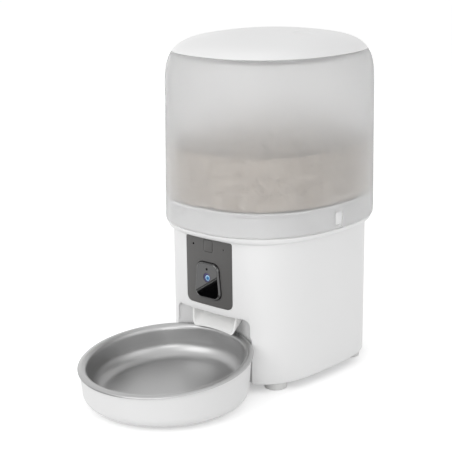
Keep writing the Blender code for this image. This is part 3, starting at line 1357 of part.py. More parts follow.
def make_batteries(axis):
    grow = BAY_WALL
    low = (-BAY_HALF_LENGTH - grow, CELL_ROW_Y - BAY_HALF_DEPTH - grow, PLATE_TOP + GAP)
    high = (BAY_HALF_LENGTH + grow, CELL_ROW_Y + BAY_HALF_DEPTH + grow, BAY_TOP)
    bay = place_mesh("battery_box", box(low, high), white("bay"), parent=axis)
    for side in (-1, 1):
        x = side * (MAIN_BOARD_HALF_WIDTH - 2 * BRACKET_POST_RADIUS)
        for y in (MAIN_BOARD_FRONT + BRACKET_POST_RADIUS, MAIN_BOARD_REAR - BRACKET_POST_RADIUS):
            post = rod(BRACKET_POST_RADIUS, BAY_TOP - BAY_WALL / 2, BAY_TOP + BOARD_POST_HEIGHT, SMALL_SIDES)
            join(bay, place_mesh("board_post", moved(post, x, y), parent=axis))
    room_low = (-BAY_HALF_LENGTH, CELL_ROW_Y - BAY_HALF_DEPTH, BASE_BOTTOM)
    room_high = (BAY_HALF_LENGTH, CELL_ROW_Y + BAY_HALF_DEPTH, BAY_TOP - BAY_WALL)
    cut(bay, place_mesh("bay_room", box(room_low, room_high), parent=axis))
    for number in range(CELLS):
        half = CELL_LENGTH / 2
        profile = [(0, -half), (CELL_RADIUS, -half), (CELL_RADIUS, half), (CELL_NUB_RADIUS, half)]
        profile += [(CELL_NUB_RADIUS, half + CELL_NUB_LENGTH), (0, half + CELL_NUB_LENGTH)]
        cell = along_x(turned(profile), -1 if number % 2 else 1)
        y = CELL_ROW_Y + (number - (CELLS - 1) / 2) * CELL_SPACING
        place_mesh(f"battery_{number + 1}", cell, steel("cell"), (0, y, CELL_CENTRE), axis)


def make_electronics(axis):
    bottom = BAY_TOP + BOARD_POST_HEIGHT + GAP
    low, high = (-MAIN_BOARD_HALF_WIDTH, MAIN_BOARD_FRONT, bottom), (
        MAIN_BOARD_HALF_WIDTH, MAIN_BOARD_REAR, bottom + BOARD_THICKNESS
    )
    board = place_mesh("main_board", box(low, high), circuit_board("main"), parent=axis)
    for share in (-0.5, 0.0, 0.5):
        x = share * MAIN_BOARD_HALF_WIDTH
        middle = (MAIN_BOARD_FRONT + MAIN_BOARD_REAR) / 2
        chip_low = (x - CHIP_HEIGHT, middle - CHIP_HEIGHT, bottom + BOARD_THICKNESS / 2)
        chip = box(chip_low, (x + CHIP_HEIGHT, middle + CHIP_HEIGHT, bottom + BOARD_THICKNESS + CHIP_HEIGHT))
        join(board, place_mesh("chip", chip, parent=axis))
    rear = inner_rear(INLET_HEIGHT) + BASE_WALL
    seat = -INLET_LENGTH + (INLET_RADIUS - INLET_BORE)
    profile = [
        (0, -INLET_LENGTH),
        (INLET_RADIUS, -INLET_LENGTH),
        (INLET_RADIUS, 0),
        (INLET_BORE, 0),
        (INLET_BORE, seat),
    ]
    profile += [(INLET_PIN_RADIUS, seat), (INLET_PIN_RADIUS, -INLET_PIN_RADIUS), (0, -INLET_PIN_RADIUS)]
    inlet = moved(along_y(turned(profile, BORE_SIDES), 1), y=rear, z=INLET_HEIGHT)
    place_mesh("power_inlet", inlet, dark_plastic("inlet"), parent=axis)
    plug_height = bottom + BOARD_THICKNESS / 2
    camera_back = FRONT + POD_DEPTH + BOARD_THICKNESS + 2 * GAP
    make_cable("camera_cable", camera_route(camera_back, plug_height), axis)
    make_cable("power_cable", power_route(rear - INLET_LENGTH - GAP, plug_height), axis)


def camera_route(start, plug_height):
    """From the camera's board over the chute, down beside it and back to the main board."""
    side = CHUTE_CEILING_HALF_WIDTH + CABLE_SIDE_CLEARANCE
    middle = (POD_BOTTOM + POD_TOP) / 2
    end_x, end_y = MAIN_BOARD_HALF_WIDTH - CABLE_PLUG_INSET, MAIN_BOARD_FRONT - GAP
    route = [(side * x, start * y, middle * z) for x, y, z in CAMERA_START_SHARES]
    return route + [(end_x * x, end_y * y, plug_height * z) for x, y, z in CAMERA_END_SHARES]


def power_route(start, plug_height):
    """From the inlet straight in, then down to the main board."""
    run = start - MAIN_BOARD_REAR - GAP
    drop = INLET_HEIGHT - plug_height
    return [(0, start - run * along, INLET_HEIGHT - drop * down) for along, down in POWER_ROUTE_SHARES]


def smooth_route(places, steps=3):
    """Points on a Catmull-Rom curve through the places."""
    knots = [Vector(place) for place in places]
    knots = [knots[0] * 2 - knots[1]] + knots + [knots[-1] * 2 - knots[-2]]
    points = []
    for a, b, c, d in zip(knots, knots[1:], knots[2:], knots[3:]):
        for step in range(steps):
            t = step / steps
            squared = (a * 2 - b * 5 + c * 4 - d) * t**2
            cubed = (b * 3 - a - c * 3 + d) * t**3
            points.append((b * 2 + (c - a) * t + squared + cubed) / 2)
    return points + [knots[-2]]


def make_cable(name, places, axis):
    curve = bpy.data.curves.new(name, "CURVE")
    curve.dimensions = "3D"
    curve.bevel_depth = CABLE_RADIUS
    curve.bevel_resolution = 2
    curve.use_fill_caps = True
    points = smooth_route(places)
    spline = curve.splines.new("POLY")
    spline.points.add(len(points) - 1)
    for target, point in zip(spline.points, points):
        target.co = (*point, 1)
    curve.materials.append(dark_plastic("cable"))
    cable = bpy.data.objects.new(name, curve)
    cable.parent = axis
    bpy.context.scene.collection.objects.link(cable)


def build():
    clear_scene()
    feeder_axis = empty("feeder_axis", (0, FEEDER_Y, 0))
    bowl_axis = empty("bowl_axis", (0, FEEDER_Y - BOWL_OFFSET, 0))
    make_hopper(feeder_axis)
    make_lid(feeder_axis)
    make_base(feeder_axis)
    make_catch("latch_right", 1, feeder_axis)
    make_catch("latch_left", -1, feeder_axis)
    make_panel(feeder_axis)
    make_pod(feeder_axis)
    make_chute(feeder_axis)
    make_metering(feeder_axis)
    make_drive(feeder_axis)
    make_underside(feeder_axis)
    make_batteries(feeder_axis)
    make_electronics(feeder_axis)
    make_bowl(bowl_axis)


build()
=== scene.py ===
"""Looks of the camera pet feeder: finer visible pieces, finishes, floor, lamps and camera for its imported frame."""

import logging
import math
from collections.abc import Sequence
from dataclasses import dataclass
from enum import Enum
from random import Random

import bmesh
import bpy
from bmesh.types import BMEdge, BMesh, BMVert
from bpy.types import ID, Material, Node, NodeSocket, NodeTree, Object
from mathutils import Matrix, Vector, noise


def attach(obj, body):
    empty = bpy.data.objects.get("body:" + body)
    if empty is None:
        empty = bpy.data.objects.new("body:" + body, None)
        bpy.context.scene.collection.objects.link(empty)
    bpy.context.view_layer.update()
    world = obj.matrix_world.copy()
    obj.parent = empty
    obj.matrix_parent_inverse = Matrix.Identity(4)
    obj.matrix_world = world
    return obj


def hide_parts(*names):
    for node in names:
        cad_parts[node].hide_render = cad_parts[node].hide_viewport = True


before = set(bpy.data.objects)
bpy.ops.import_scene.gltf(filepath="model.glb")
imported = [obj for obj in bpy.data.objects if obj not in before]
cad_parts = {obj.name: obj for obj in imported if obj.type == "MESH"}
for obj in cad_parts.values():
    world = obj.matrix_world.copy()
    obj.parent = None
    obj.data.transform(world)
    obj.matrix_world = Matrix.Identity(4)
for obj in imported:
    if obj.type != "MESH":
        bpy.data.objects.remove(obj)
log = logging.getLogger("camera_feeder")

Spot = tuple[float, float]
Line = Sequence[Spot]
Triple = tuple[float, float, float]
Ring = Sequence[Vector]

# Lengths are in metres: the gap between two pieces, and how far a cutter runs past what it cuts
MM = 0.001
GAP = 0.3 * MM
OVERRUN = 3 * MM
# Steps in a full turn, for the large forms, for round pieces and for small holes
AROUND, ROUND, SMALL = 192, 64, 32
# How far the bowl stands before the feeder's axis, its radius and the tank's half-depth in millimetres, and its tilt
BOWL_OFFSET, BOWL_RIM, TANK_HALF_DEPTH = 146.2, 79.0, 101.0
BOWL_TILT = 6.03
# The frame's middle lies halfway between the bowl's front and the tank's back, so the feeder's axis lies behind it
FEEDER_Y = (BOWL_OFFSET + BOWL_RIM * math.cos(math.radians(BOWL_TILT)) - TANK_HALF_DEPTH) / 2 * MM
FEEDER = Vector((0, FEEDER_Y, 0))
# Y of the base's front wall, from the feeder's axis
FRONT = -89.1 * MM
WHITE, BLACK = (1, 1, 1, 1), (0, 0, 0, 1)
# Scale of a noise of one millimetre's pitch, the same for wear, and the middle of a noise's range
PITCH, WEAR = 1000, 2600
NOISE_LOW, NOISE_HIGH = 0.3, 0.7
WELD = 1e-6


def linear(colour: str) -> tuple[float, float, float, float]:
    """Turns an sRGB hex colour to the linear values that shaders take.

    Args:
        colour: Six hex digits with a leading mark, as in "#E4E4E2".

    Returns:
        Red, green, blue and full opacity.
    """
    parts = (int(colour[start:start + 2], 16) / 255 for start in (1, 3, 5))
    red, green, blue = (part / 12.92 if part <= 0.04045 else ((part + 0.055) / 1.055) ** 2.4 for part in parts)
    return red, green, blue, 1.0


def feed(tree: NodeTree, node: Node, inputs: dict) -> Node:
    """Sets a node's inputs by name or number, each to a value or to the socket that feeds it."""
    for key, value in inputs.items():
        if isinstance(value, NodeSocket):
            tree.links.new(value, node.inputs[key])
        else:
            node.inputs[key].default_value = value
    return node


def add_node(tree: NodeTree, kind: str, inputs: dict | None = None, **settings: object) -> Node:
    """Adds one shader node with its settings, values and links.

    Args:
        tree: The material's node tree.
        kind: The node's type, without the prefix that all shader nodes share.
        inputs: Socket name or number to a value, or to the socket that feeds it.
        **settings: The node's own settings, such as an operation.

    Returns:
        The new node.
    """
    made = tree.nodes.new("ShaderNode" + kind)
    for name, value in settings.items():
        setattr(made, name, value)
    return feed(tree, made, inputs or {})


def blended(tree: NodeTree, share: NodeSocket, first: str, second: str) -> NodeSocket:
    """Returns a mix of two shades by a share."""
    inputs = {0: share, 6: linear(first), 7: linear(second)}
    return add_node(tree, "Mix", inputs, data_type="RGBA").outputs[2]


def distance(tree: NodeTree, point: NodeSocket, kept: Triple) -> NodeSocket:
    """Returns a point's distance from the origin along the axes that are kept."""
    flat = add_node(tree, "VectorMath", {0: point, 1: kept}, operation="MULTIPLY")
    return add_node(tree, "VectorMath", {0: flat.outputs["Vector"]}, operation="LENGTH").outputs["Value"]


def opened(name: str) -> tuple[Material, NodeTree, Node]:
    """Makes a material and returns it with its node tree and its surface shader."""
    made = bpy.data.materials.new(name)
    made.use_nodes = True
    return made, made.node_tree, made.node_tree.nodes["Principled BSDF"]


@dataclass(frozen=True)
class Finish:
    """A surface: what it is made of, its two close shades, its gloss and its grain.

    The second shade drifts in over patches, as in a moulding seen in soft light. The grain is a bump of a
    real pitch.
    """

    name: str
    shade: str
    second_shade: str
    roughness: float
    ior: float = 1.49
    metallic: float = 0.0
    patch: float = 60.0
    grain: float = 0.6
    grain_depth: float = 0.01
    roughness_drift: float = 0.04
    coat: float = 0.0
    coat_ior: float = 1.5
    coat_roughness: float = 0.03
    bump_strength: float = 0.6

    def build(self) -> Material:
        """Makes the material once and returns it."""
        made = bpy.data.materials.get(self.name)
        if made:
            return made
        made, tree, shader = opened(self.name)
        coat = {"Coat Weight": self.coat, "Coat Roughness": self.coat_roughness, "Coat IOR": self.coat_ior}
        feed(tree, shader, {"Metallic": self.metallic, **coat})
        if not self.metallic:
            feed(tree, shader, {"IOR": self.ior})
        self.dress(tree, shader)
        return made

    def place(self, tree: NodeTree) -> NodeSocket:
        """Returns the point on the piece, in metres."""
        return add_node(tree, "TexCoord").outputs["Object"]

    def dress(self, tree: NodeTree, shader: Node) -> None:
        """Gives the shader its drifting shade, its gloss and its grain.

        Args:
            tree: The material's node tree.
            shader: The surface's shader.
        """
        point = self.place(tree)
        cloud = add_node(tree, "TexNoise", {"Vector": point, "Scale": PITCH / self.patch, "Detail": 2.0})
        self.colour(tree, shader, cloud.outputs["Fac"])
        self.gloss(tree, shader, point)
        self.bump(tree, shader, point)

    def colour(self, tree: NodeTree, shader: Node, share: NodeSocket) -> None:
        """Mixes the two shades by a share."""
        feed(tree, shader, {"Base Color": blended(tree, share, self.shade, self.second_shade)})

    def gloss(self, tree: NodeTree, shader: Node, point: NodeSocket) -> None:
        """Lets the gloss wander a little, as handling and moulding leave it."""
        wear = add_node(tree, "TexNoise", {"Vector": point, "Scale": WEAR / self.patch, "Detail": 4.0})
        self.wander(tree, shader, wear.outputs["Fac"])

    def wander(self, tree: NodeTree, shader: Node, share: NodeSocket) -> None:
        """Drifts the roughness about its mean by the middle of a noise's range."""
        low, high = self.roughness - self.roughness_drift, self.roughness + self.roughness_drift
        span = add_node(tree, "MapRange", {"Value": share, 1: NOISE_LOW, 2: NOISE_HIGH, 3: low, 4: high})
        feed(tree, shader, {"Roughness": span.outputs["Result"]})

    def bump(self, tree: NodeTree, shader: Node, point: NodeSocket) -> None:
        """Adds the fine grain of the mould."""
        grain = add_node(tree, "TexNoise", {"Vector": point, "Scale": PITCH / self.grain, "Detail": 3.0})
        self.emboss(tree, shader, grain.outputs["Fac"])

    def emboss(self, tree: NodeTree, shader: Node, height: NodeSocket) -> None:
        """Raises a height as a bump of the grain's depth."""
        inputs = {"Height": height, "Distance": self.grain_depth * MM, "Strength": self.bump_strength}
        feed(tree, shader, {"Normal": add_node(tree, "Bump", inputs).outputs["Normal"]})


@dataclass(frozen=True)
class FrostedPlastic(Finish):
    """Clear plastic moulded with a frosted face: light comes through it, and what stands behind it blurs."""

    passing: float = 0.5

    def dress(self, tree: NodeTree, shader: Node) -> None:
        """Dresses the shader and lets part of the light through."""
        super().dress(tree, shader)
        feed(tree, shader, {"Transmission Weight": self.passing})


@dataclass(frozen=True)
class SpunSteel(Finish):
    """Stainless steel turned against a pad: fine rings about an axis, which stretch the highlights."""

    centre: Triple = (0.0, 0.0, 0.0)
    tilt: float = 0.0
    ring: float = 0.45
    bump_strength: float = 0.5

    def dress(self, tree: NodeTree, shader: Node) -> None:
        """Draws the rings in shade, gloss and bump, coarser than the real 0.1 mm so that they show."""
        inputs = {"Vector": self.place(tree), "Location": self.centre, "Rotation": (self.tilt, 0, 0)}
        turned = add_node(tree, "Mapping", inputs, vector_type="TEXTURE")
        reach = distance(tree, turned.outputs["Vector"], (1, 1, 0))
        inputs = {"W": reach, "Scale": PITCH / self.ring, "Detail": 3.0}
        rings = add_node(tree, "TexNoise", inputs, noise_dimensions="1D").outputs["Fac"]
        self.colour(tree, shader, rings)
        self.wander(tree, shader, rings)
        self.emboss(tree, shader, rings)


@dataclass(frozen=True)
class DrawnMetal(Finish):
    """Metal with fine lines drawn along one axis, as on screws, shafts and cans."""

    stretch: Triple = (1.0, 1.0, 0.02)

    def bump(self, tree: NodeTree, shader: Node, point: NodeSocket) -> None:
        """Stretches the grain into lines."""
        drawn = add_node(tree, "Mapping", {"Vector": point, "Scale": self.stretch})
        super().bump(tree, shader, drawn.outputs["Vector"])


@dataclass(frozen=True)
class Speckled(Finish):
    """A surface of small cells in two shades, such as dry food or a board's etched copper."""

    cell: float = 4.0
    contrast: Spot = (0.2, 0.8)

    def dress(self, tree: NodeTree, shader: Node) -> None:
        """Colours each cell on its own and adds the fine grain as a bump."""
        point = self.place(tree)
        cells = add_node(tree, "TexVoronoi", {"Vector": point, "Scale": PITCH / self.cell})
        parts = add_node(tree, "SeparateColor", {"Color": cells.outputs["Color"]})
        low, high = self.contrast
        share = add_node(tree, "MapRange", {"Value": parts.outputs["Red"], 1: low, 2: high})
        self.colour(tree, shader, share.outputs["Result"])
        self.gloss(tree, shader, point)
        self.bump(tree, shader, point)


@dataclass(frozen=True)
class CoatedLens(Finish):
    """Camera glass: a dark pupil, a blue anti-reflection coating round it with a painted pale highlight ring, and a
    dark blackened rim.
    """

    centre: Triple = (0.0, 0.0, 0.0)
    stops: tuple[tuple[float, str], ...] = ()

    def dress(self, tree: NodeTree, shader: Node) -> None:
        """Colours the glass, its painted highlight ring too, by the distance from the centre across the lens's own
        axis, which runs along Y.
        """
        shifted = add_node(tree, "VectorMath", {0: self.place(tree), 1: self.centre}, operation="SUBTRACT")
        reach = distance(tree, shifted.outputs["Vector"], (1, 0, 1))
        span = add_node(tree, "MapRange", {"Value": reach, 2: self.patch * MM})
        ramp = add_node(tree, "ValToRGB", {"Fac": span.outputs["Result"]})
        elements = ramp.color_ramp.elements
        elements[0].color, elements[-1].color = linear(self.stops[0][1]), linear(self.stops[-1][1])
        for share, shade in self.stops[1:-1]:
            elements.new(share).color = linear(shade)
        feed(tree, shader, {"Base Color": ramp.outputs["Color"], "Roughness": self.roughness})


class Join(Enum):
    """How one solid is worked on with another."""

    CUT = "DIFFERENCE"
    MERGE = "UNION"
    KEEP = "INTERSECT"


class Side(Enum):
    """The two sides of the feeder, as the sign of X."""

    RIGHT = 1
    LEFT = -1


class Loft:
    """A skin pulled ring by ring out of one drawn circle."""

    def __init__(self, rings: Sequence[Ring]) -> None:
        """Draws the first ring and extrudes it to each of the next ones, which have as many points."""
        self.mesh = bmesh.new()
        drawn = bmesh.ops.create_circle(self.mesh, cap_ends=False, radius=1.0, segments=len(rings[0]))["verts"]
        self.rings = [self.placed(drawn, rings[0])]
        for points in rings[1:]:
            made = bmesh.ops.extrude_edge_only(self.mesh, edges=self.edges(self.rings[-1]))
            fresh = {item for item in made["geom"] if isinstance(item, BMVert)}
            self.rings.append(self.placed([self.beyond(vert, fresh) for vert in self.rings[-1]], points))

    def beyond(self, vert: BMVert, fresh: set[BMVert]) -> BMVert:
        """Returns the fresh corner that a corner was pulled to."""
        return next(edge.other_vert(vert) for edge in vert.link_edges if edge.other_vert(vert) in fresh)

    def placed(self, ring: list[BMVert], points: Ring) -> list[BMVert]:
        """Moves a ring to its points."""
        for vert, point in zip(ring, points, strict=True):
            vert.co = point
        return ring

    def edges(self, ring: list[BMVert]) -> list[BMEdge]:
        """Returns the edges round a ring."""
        return [self.mesh.edges.get(pair) for pair in zip(ring, ring[1:] + ring[:1])]

    def looped(self) -> BMesh:
        """Joins the last ring to the first and returns the closed mesh."""
        bmesh.ops.bridge_loops(self.mesh, edges=self.edges(self.rings[-1]) + self.edges(self.rings[0]))
        return outwards(self.mesh)

    def capped(self, start: float | None = None, end: float | None = None) -> BMesh:
        """Closes both ends, with a face, or with a pole where a height is given.

        Args:
            start: Height of the pole at the first ring.
            end: Height of the pole at the last ring.

        Returns:
            The closed mesh.
        """
        for ring, height in ((self.rings[0], start), (self.rings[-1], end)):
            face = bmesh.ops.contextual_create(self.mesh, geom=self.edges(ring))["faces"]
            if height is not None:
                middle = sum((vert.co for vert in ring), Vector()) / len(ring)
                tip = bmesh.ops.poke(self.mesh, faces=face)["verts"][0]
                tip.co = (middle.x, middle.y, height)
        return outwards(self.mesh)


def bevel(mesh: BMesh, parts: Sequence[BMVert | BMEdge], width: float, segments: int, kind: str = "EDGES") -> None:
    """Rounds some edges or corners of a mesh by a width in metres."""
    bmesh.ops.bevel(mesh, geom=parts, offset=width, affect=kind, segments=segments, profile=0.5, material=-1)


def outwards(mesh: BMesh) -> BMesh:
    """Turns every face of a closed mesh outwards."""
    mesh.normal_update()
    bmesh.ops.recalc_face_normals(mesh, faces=mesh.faces[:])
    return mesh


def oval(half_width: float, half_depth: float, squareness: float, height: float) -> list[Vector]:
    """Returns a ring on an oval whose corners get squarer with squareness."""
    points = []
    for step in range(AROUND):
        angle = 2 * math.pi * step / AROUND
        across, along = math.cos(angle), math.sin(angle)
        total = abs(across / half_width) ** squareness + abs(along / half_depth) ** squareness
        reach = total ** (-1 / squareness)
        points.append(Vector((reach * across, reach * along, height)))
    return points


def circle(radius: float, height: float, slope: float = 0.0) -> list[Vector]:
    """Returns a round ring, which may slant along Y."""
    ring = oval(radius, radius, 2, height)
    for point in ring:
        point.z += slope * point.y
    return ring


def smooth_line(points: Line, steps: int = 5) -> list[Spot]:
    """Draws a smooth line through points.

    Args:
        points: The places that the line passes through.
        steps: Parts between one place and the next.

    Returns:
        The line's points, the first and the last place included.
    """
    line = [points[0]]
    padded = [points[0], *points, points[-1]]
    for before, start, end, after in zip(padded, padded[1:], padded[2:], padded[3:]):
        for step in range(1, steps + 1):
            t = step / steps
            line.append(tuple(
                0.5 * (2 * b + (c - a) * t + (2 * a - 5 * b + 4 * c - d) * t**2 + (3 * b - a - 3 * c + d) * t**3)
                for a, b, c, d in zip(before, start, end, after)
            ))
    return line


def arc(centre: Spot, radii: Spot, first: float, last: float, steps: int = 10) -> list[Spot]:
    """Returns points on an elliptic arc between two angles in degrees."""
    angles = [math.radians(first + (last - first) * step / steps) for step in range(steps + 1)]
    return [(centre[0] + radii[0] * math.cos(angle), centre[1] + radii[1] * math.sin(angle)) for angle in angles]


def spun(profile: Line, around: int = ROUND, looped: bool = False) -> BMesh:
    """Spins a line of (radius, height) points about Z into a closed shape.

    Args:
        profile: The line, which starts and ends on the axis unless it is looped.
        around: Steps in the full turn.
        looped: Whether the line closes on itself, as for a ring.

    Returns:
        The mesh.
    """
    mesh = bmesh.new()
    verts = [mesh.verts.new((radius, 0, height)) for radius, height in profile]
    pairs = list(zip(verts, verts[1:])) + ([(verts[-1], verts[0])] if looped else [])
    edges = [mesh.edges.new(pair) for pair in pairs]
    turn = {"cent": (0, 0, 0), "axis": (0, 0, 1), "angle": 2 * math.pi, "steps": around}
    bmesh.ops.spin(mesh, geom=verts + edges, use_merge=True, use_duplicate=False, **turn)
    bmesh.ops.remove_doubles(mesh, verts=mesh.verts[:], dist=WELD)
    return outwards(mesh)


def slab(corners: Line, radii: Sequence[float], near: float, far: float, segments: int = 8) -> BMesh:
    """Makes a plate that stands facing -Y, with its corners rounded one by one.

    Args:
        corners: Its outline as (x, z) points.
        radii: Each corner's radius.
        near: Y of its front face.
        far: Y of its back face.
        segments: Steps in each rounded corner.

    Returns:
        The mesh.
    """
    mesh = bmesh.new()
    verts = [mesh.verts.new((x, near, z)) for x, z in corners]
    mesh.faces.new(verts)
    for vert, radius in zip(verts, radii):
        if radius:
            bevel(mesh, [vert], radius, segments, "VERTICES")
    made = bmesh.ops.extrude_face_region(mesh, geom=mesh.faces[:])["geom"]
    bmesh.ops.translate(mesh, verts=[item for item in made if isinstance(item, BMVert)], vec=(0, far - near, 0))
    return outwards(mesh)


def moved(mesh: BMesh, place: Triple, turn: float = 0.0) -> BMesh:
    """Turns a mesh about X by an angle in radians and takes it to its place."""
    if turn:
        bmesh.ops.rotate(mesh, verts=mesh.verts[:], cent=(0, 0, 0), matrix=Matrix.Rotation(turn, 3, "X"))
    bmesh.ops.translate(mesh, verts=mesh.verts[:], vec=place)
    return mesh


def turned_to_front(mesh: BMesh, x: float, z: float) -> BMesh:
    """Turns a shape made along Z so that its top faces -Y, and takes it to the wall's front."""
    return moved(mesh, (x, FRONT, z), math.pi / 2)


def rod(radius: float, low: float, high: float, around: int = ROUND) -> BMesh:
    """Makes a plain round bar for cutting."""
    return spun([(0, low), (radius, low), (radius, high), (0, high)], around)


def peg(radius: float, low: float, high: float, spot: Spot, around: int = ROUND) -> BMesh:
    """Makes a bar that faces -Y, between two distances before the wall's front, at an (x, z) spot."""
    return turned_to_front(rod(radius, low, high, around), *spot)


def box(left: float, right: float, low: float, high: float) -> list[Spot]:
    """Returns a rectangle's corners, starting at the lower left."""
    return [(left, low), (right, low), (right, high), (left, high)]


def between(first: Ring, second: Ring, share: float) -> Ring:
    """Returns the ring that lies a share of the way from one ring to another."""
    return [start.lerp(end, share) for start, end in zip(first, second)]


def level(ring: Ring, height: float) -> Ring:
    """Returns a ring laid flat at a height."""
    return [Vector((point.x, point.y, height)) for point in ring]


def offset_line(profile: Line, wall: float) -> list[Spot]:
    """Moves a line that runs up and over inwards by a wall, or outwards by a negative one."""
    made = []
    for index, (width, height) in enumerate(profile):
        before, after = profile[max(index - 1, 0)], profile[min(index + 1, len(profile) - 1)]
        run, rise = after[0] - before[0], after[1] - before[1]
        length = math.hypot(run, rise)
        made.append((width - wall * rise / length, height + wall * run / length))
    return made


def linked(name: str, data: ID) -> Object:
    """Makes an object of some data and puts it into the scene."""
    item = bpy.data.objects.new(name, data)
    bpy.context.scene.collection.objects.link(item)
    return item


def blank(name: str, mesh: BMesh) -> Object:
    """Makes an object of a mesh, at the feeder's own axis, before it is cut and finished."""
    item = linked(name, bpy.data.meshes.new(name))
    mesh.to_mesh(item.data)
    mesh.free()
    return item


def settle(item: Object) -> Object:
    """Makes what the modifiers do part of the mesh itself."""
    bpy.context.view_layer.update()
    made = bpy.data.meshes.new_from_object(item.evaluated_get(bpy.context.evaluated_depsgraph_get()))
    item.modifiers.clear()
    item.data = made
    return item


def combine(item: Object, operation: Join, *tools: Object) -> Object:
    """Cuts, joins or intersects an object with others, which are used up.

    Args:
        item: The object that stays.
        operation: What is done with the others.
        *tools: The other objects.

    Returns:
        The object.
    """
    for tool in tools:
        step = item.modifiers.new(operation.value, "BOOLEAN")
        step.operation, step.solver, step.object = operation.value, "EXACT", tool
        settle(item)
        bpy.data.objects.remove(tool)
    return item


def round_edges(item: Object, width: float, segments: int = 2, above: float = 40.0) -> Object:
    """Rounds the edges that are sharper than an angle in degrees, by a radius in metres."""
    step = item.modifiers.new("Edges", "BEVEL")
    step.width, step.segments, step.profile = width, segments, 0.5
    step.limit_method, step.angle_limit = "ANGLE", math.radians(above)
    step.miter_outer = "MITER_ARC"
    step.use_clamp_overlap = True
    return settle(item)


def finished(
    item: Object, finish: Finish, body: str, slot: str, *nodes: str,
    place: Matrix | None = None, smooth: float = 35.0, flat: bool = False,
) -> Object:
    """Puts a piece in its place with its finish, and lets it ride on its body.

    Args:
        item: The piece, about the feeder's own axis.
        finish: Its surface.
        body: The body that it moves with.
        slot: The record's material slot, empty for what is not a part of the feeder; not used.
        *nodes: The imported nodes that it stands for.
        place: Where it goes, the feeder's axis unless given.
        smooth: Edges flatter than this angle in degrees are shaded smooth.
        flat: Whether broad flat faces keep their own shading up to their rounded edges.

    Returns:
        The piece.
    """
    item.data.transform(place or Matrix.Translation(FEEDER))
    item.data.shade_smooth()
    item.data.set_sharp_from_angle(angle=math.radians(smooth))
    if flat:
        step = item.modifiers.new("Normals", "WEIGHTED_NORMAL")
        step.mode, step.weight, step.keep_sharp = "FACE_AREA", 100, True
        settle(item)
    item.data.materials.clear()
    item.data.materials.append(finish.build())
    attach(item, body)
    if nodes:
        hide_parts(*nodes)
    log.info("%s: %d faces, rides on %s", item.name, len(item.data.polygons), body)
    return item


@dataclass(frozen=True)
class TankForm:
    """The oval that the tank, the lid and the base's collar share, narrowing upwards to a soft shoulder."""

    half_width: float = 88.0 * MM
    half_depth: float = TANK_HALF_DEPTH * MM
    squareness: float = 2.395
    wall: float = 2.4 * MM
    skirt_bottom: float = 147.7 * MM
    widest: float = 155.0 * MM
    shoulder_height: float = 268.7 * MM
    shoulder_half_width: float = 86.8 * MM
    rise: float = 45.6 * MM
    crown: float = 8.1 * MM
    shoulder_squareness: float = 8.2
    roundness: float = 3.2
    seam_half_width: float = 81.0 * MM
    seam_height: float = 304.9 * MM
    mouth_step: float = 1.6 * MM
    mouth_step_depth: float = 2.9 * MM
    mouth_ledge: float = 2.6 * MM
    band_top: float = 170.5 * MM

    def ring(self, half_width: float, height: float) -> list[Vector]:
        """Returns the oval's ring at a half-width."""
        return oval(half_width, half_width * self.half_depth / self.half_width, self.squareness, height)

    def rings(self, profile: Line) -> list[list[Vector]]:
        """Returns a ring for each (half-width, height) point."""
        return [self.ring(*point) for point in profile]

    def top(self, half_width: float) -> float:
        """Returns the outer surface's height over the shoulder and the lid."""
        share = min(half_width / self.shoulder_half_width, 1)
        dome = self.rise * (1 - share**self.shoulder_squareness) ** (1 / self.roundness)
        return self.shoulder_height + dome + self.crown * (1 - share**2)

    def half_width_at(self, height: float) -> float:
        """Returns the outer half-width of the upright wall."""
        share = (height - self.widest) / (self.shoulder_height - self.widest)
        return self.half_width + (self.shoulder_half_width - self.half_width) * max(share, 0)

    def shoulder_line(self, steps: int = 20) -> list[Spot]:
        """Returns the shoulder's points from the upright wall to the seam, evenly up its curve."""
        seam_share = (self.seam_half_width / self.shoulder_half_width) ** self.shoulder_squareness
        last = (1 - seam_share) ** (1 / self.roundness)
        power = 1 / self.shoulder_squareness
        climbs = (last * step / steps for step in range(1, steps))
        widths = [self.shoulder_half_width * (1 - climb**self.roundness) ** power for climb in climbs]
        return [(width, self.top(width)) for width in widths]


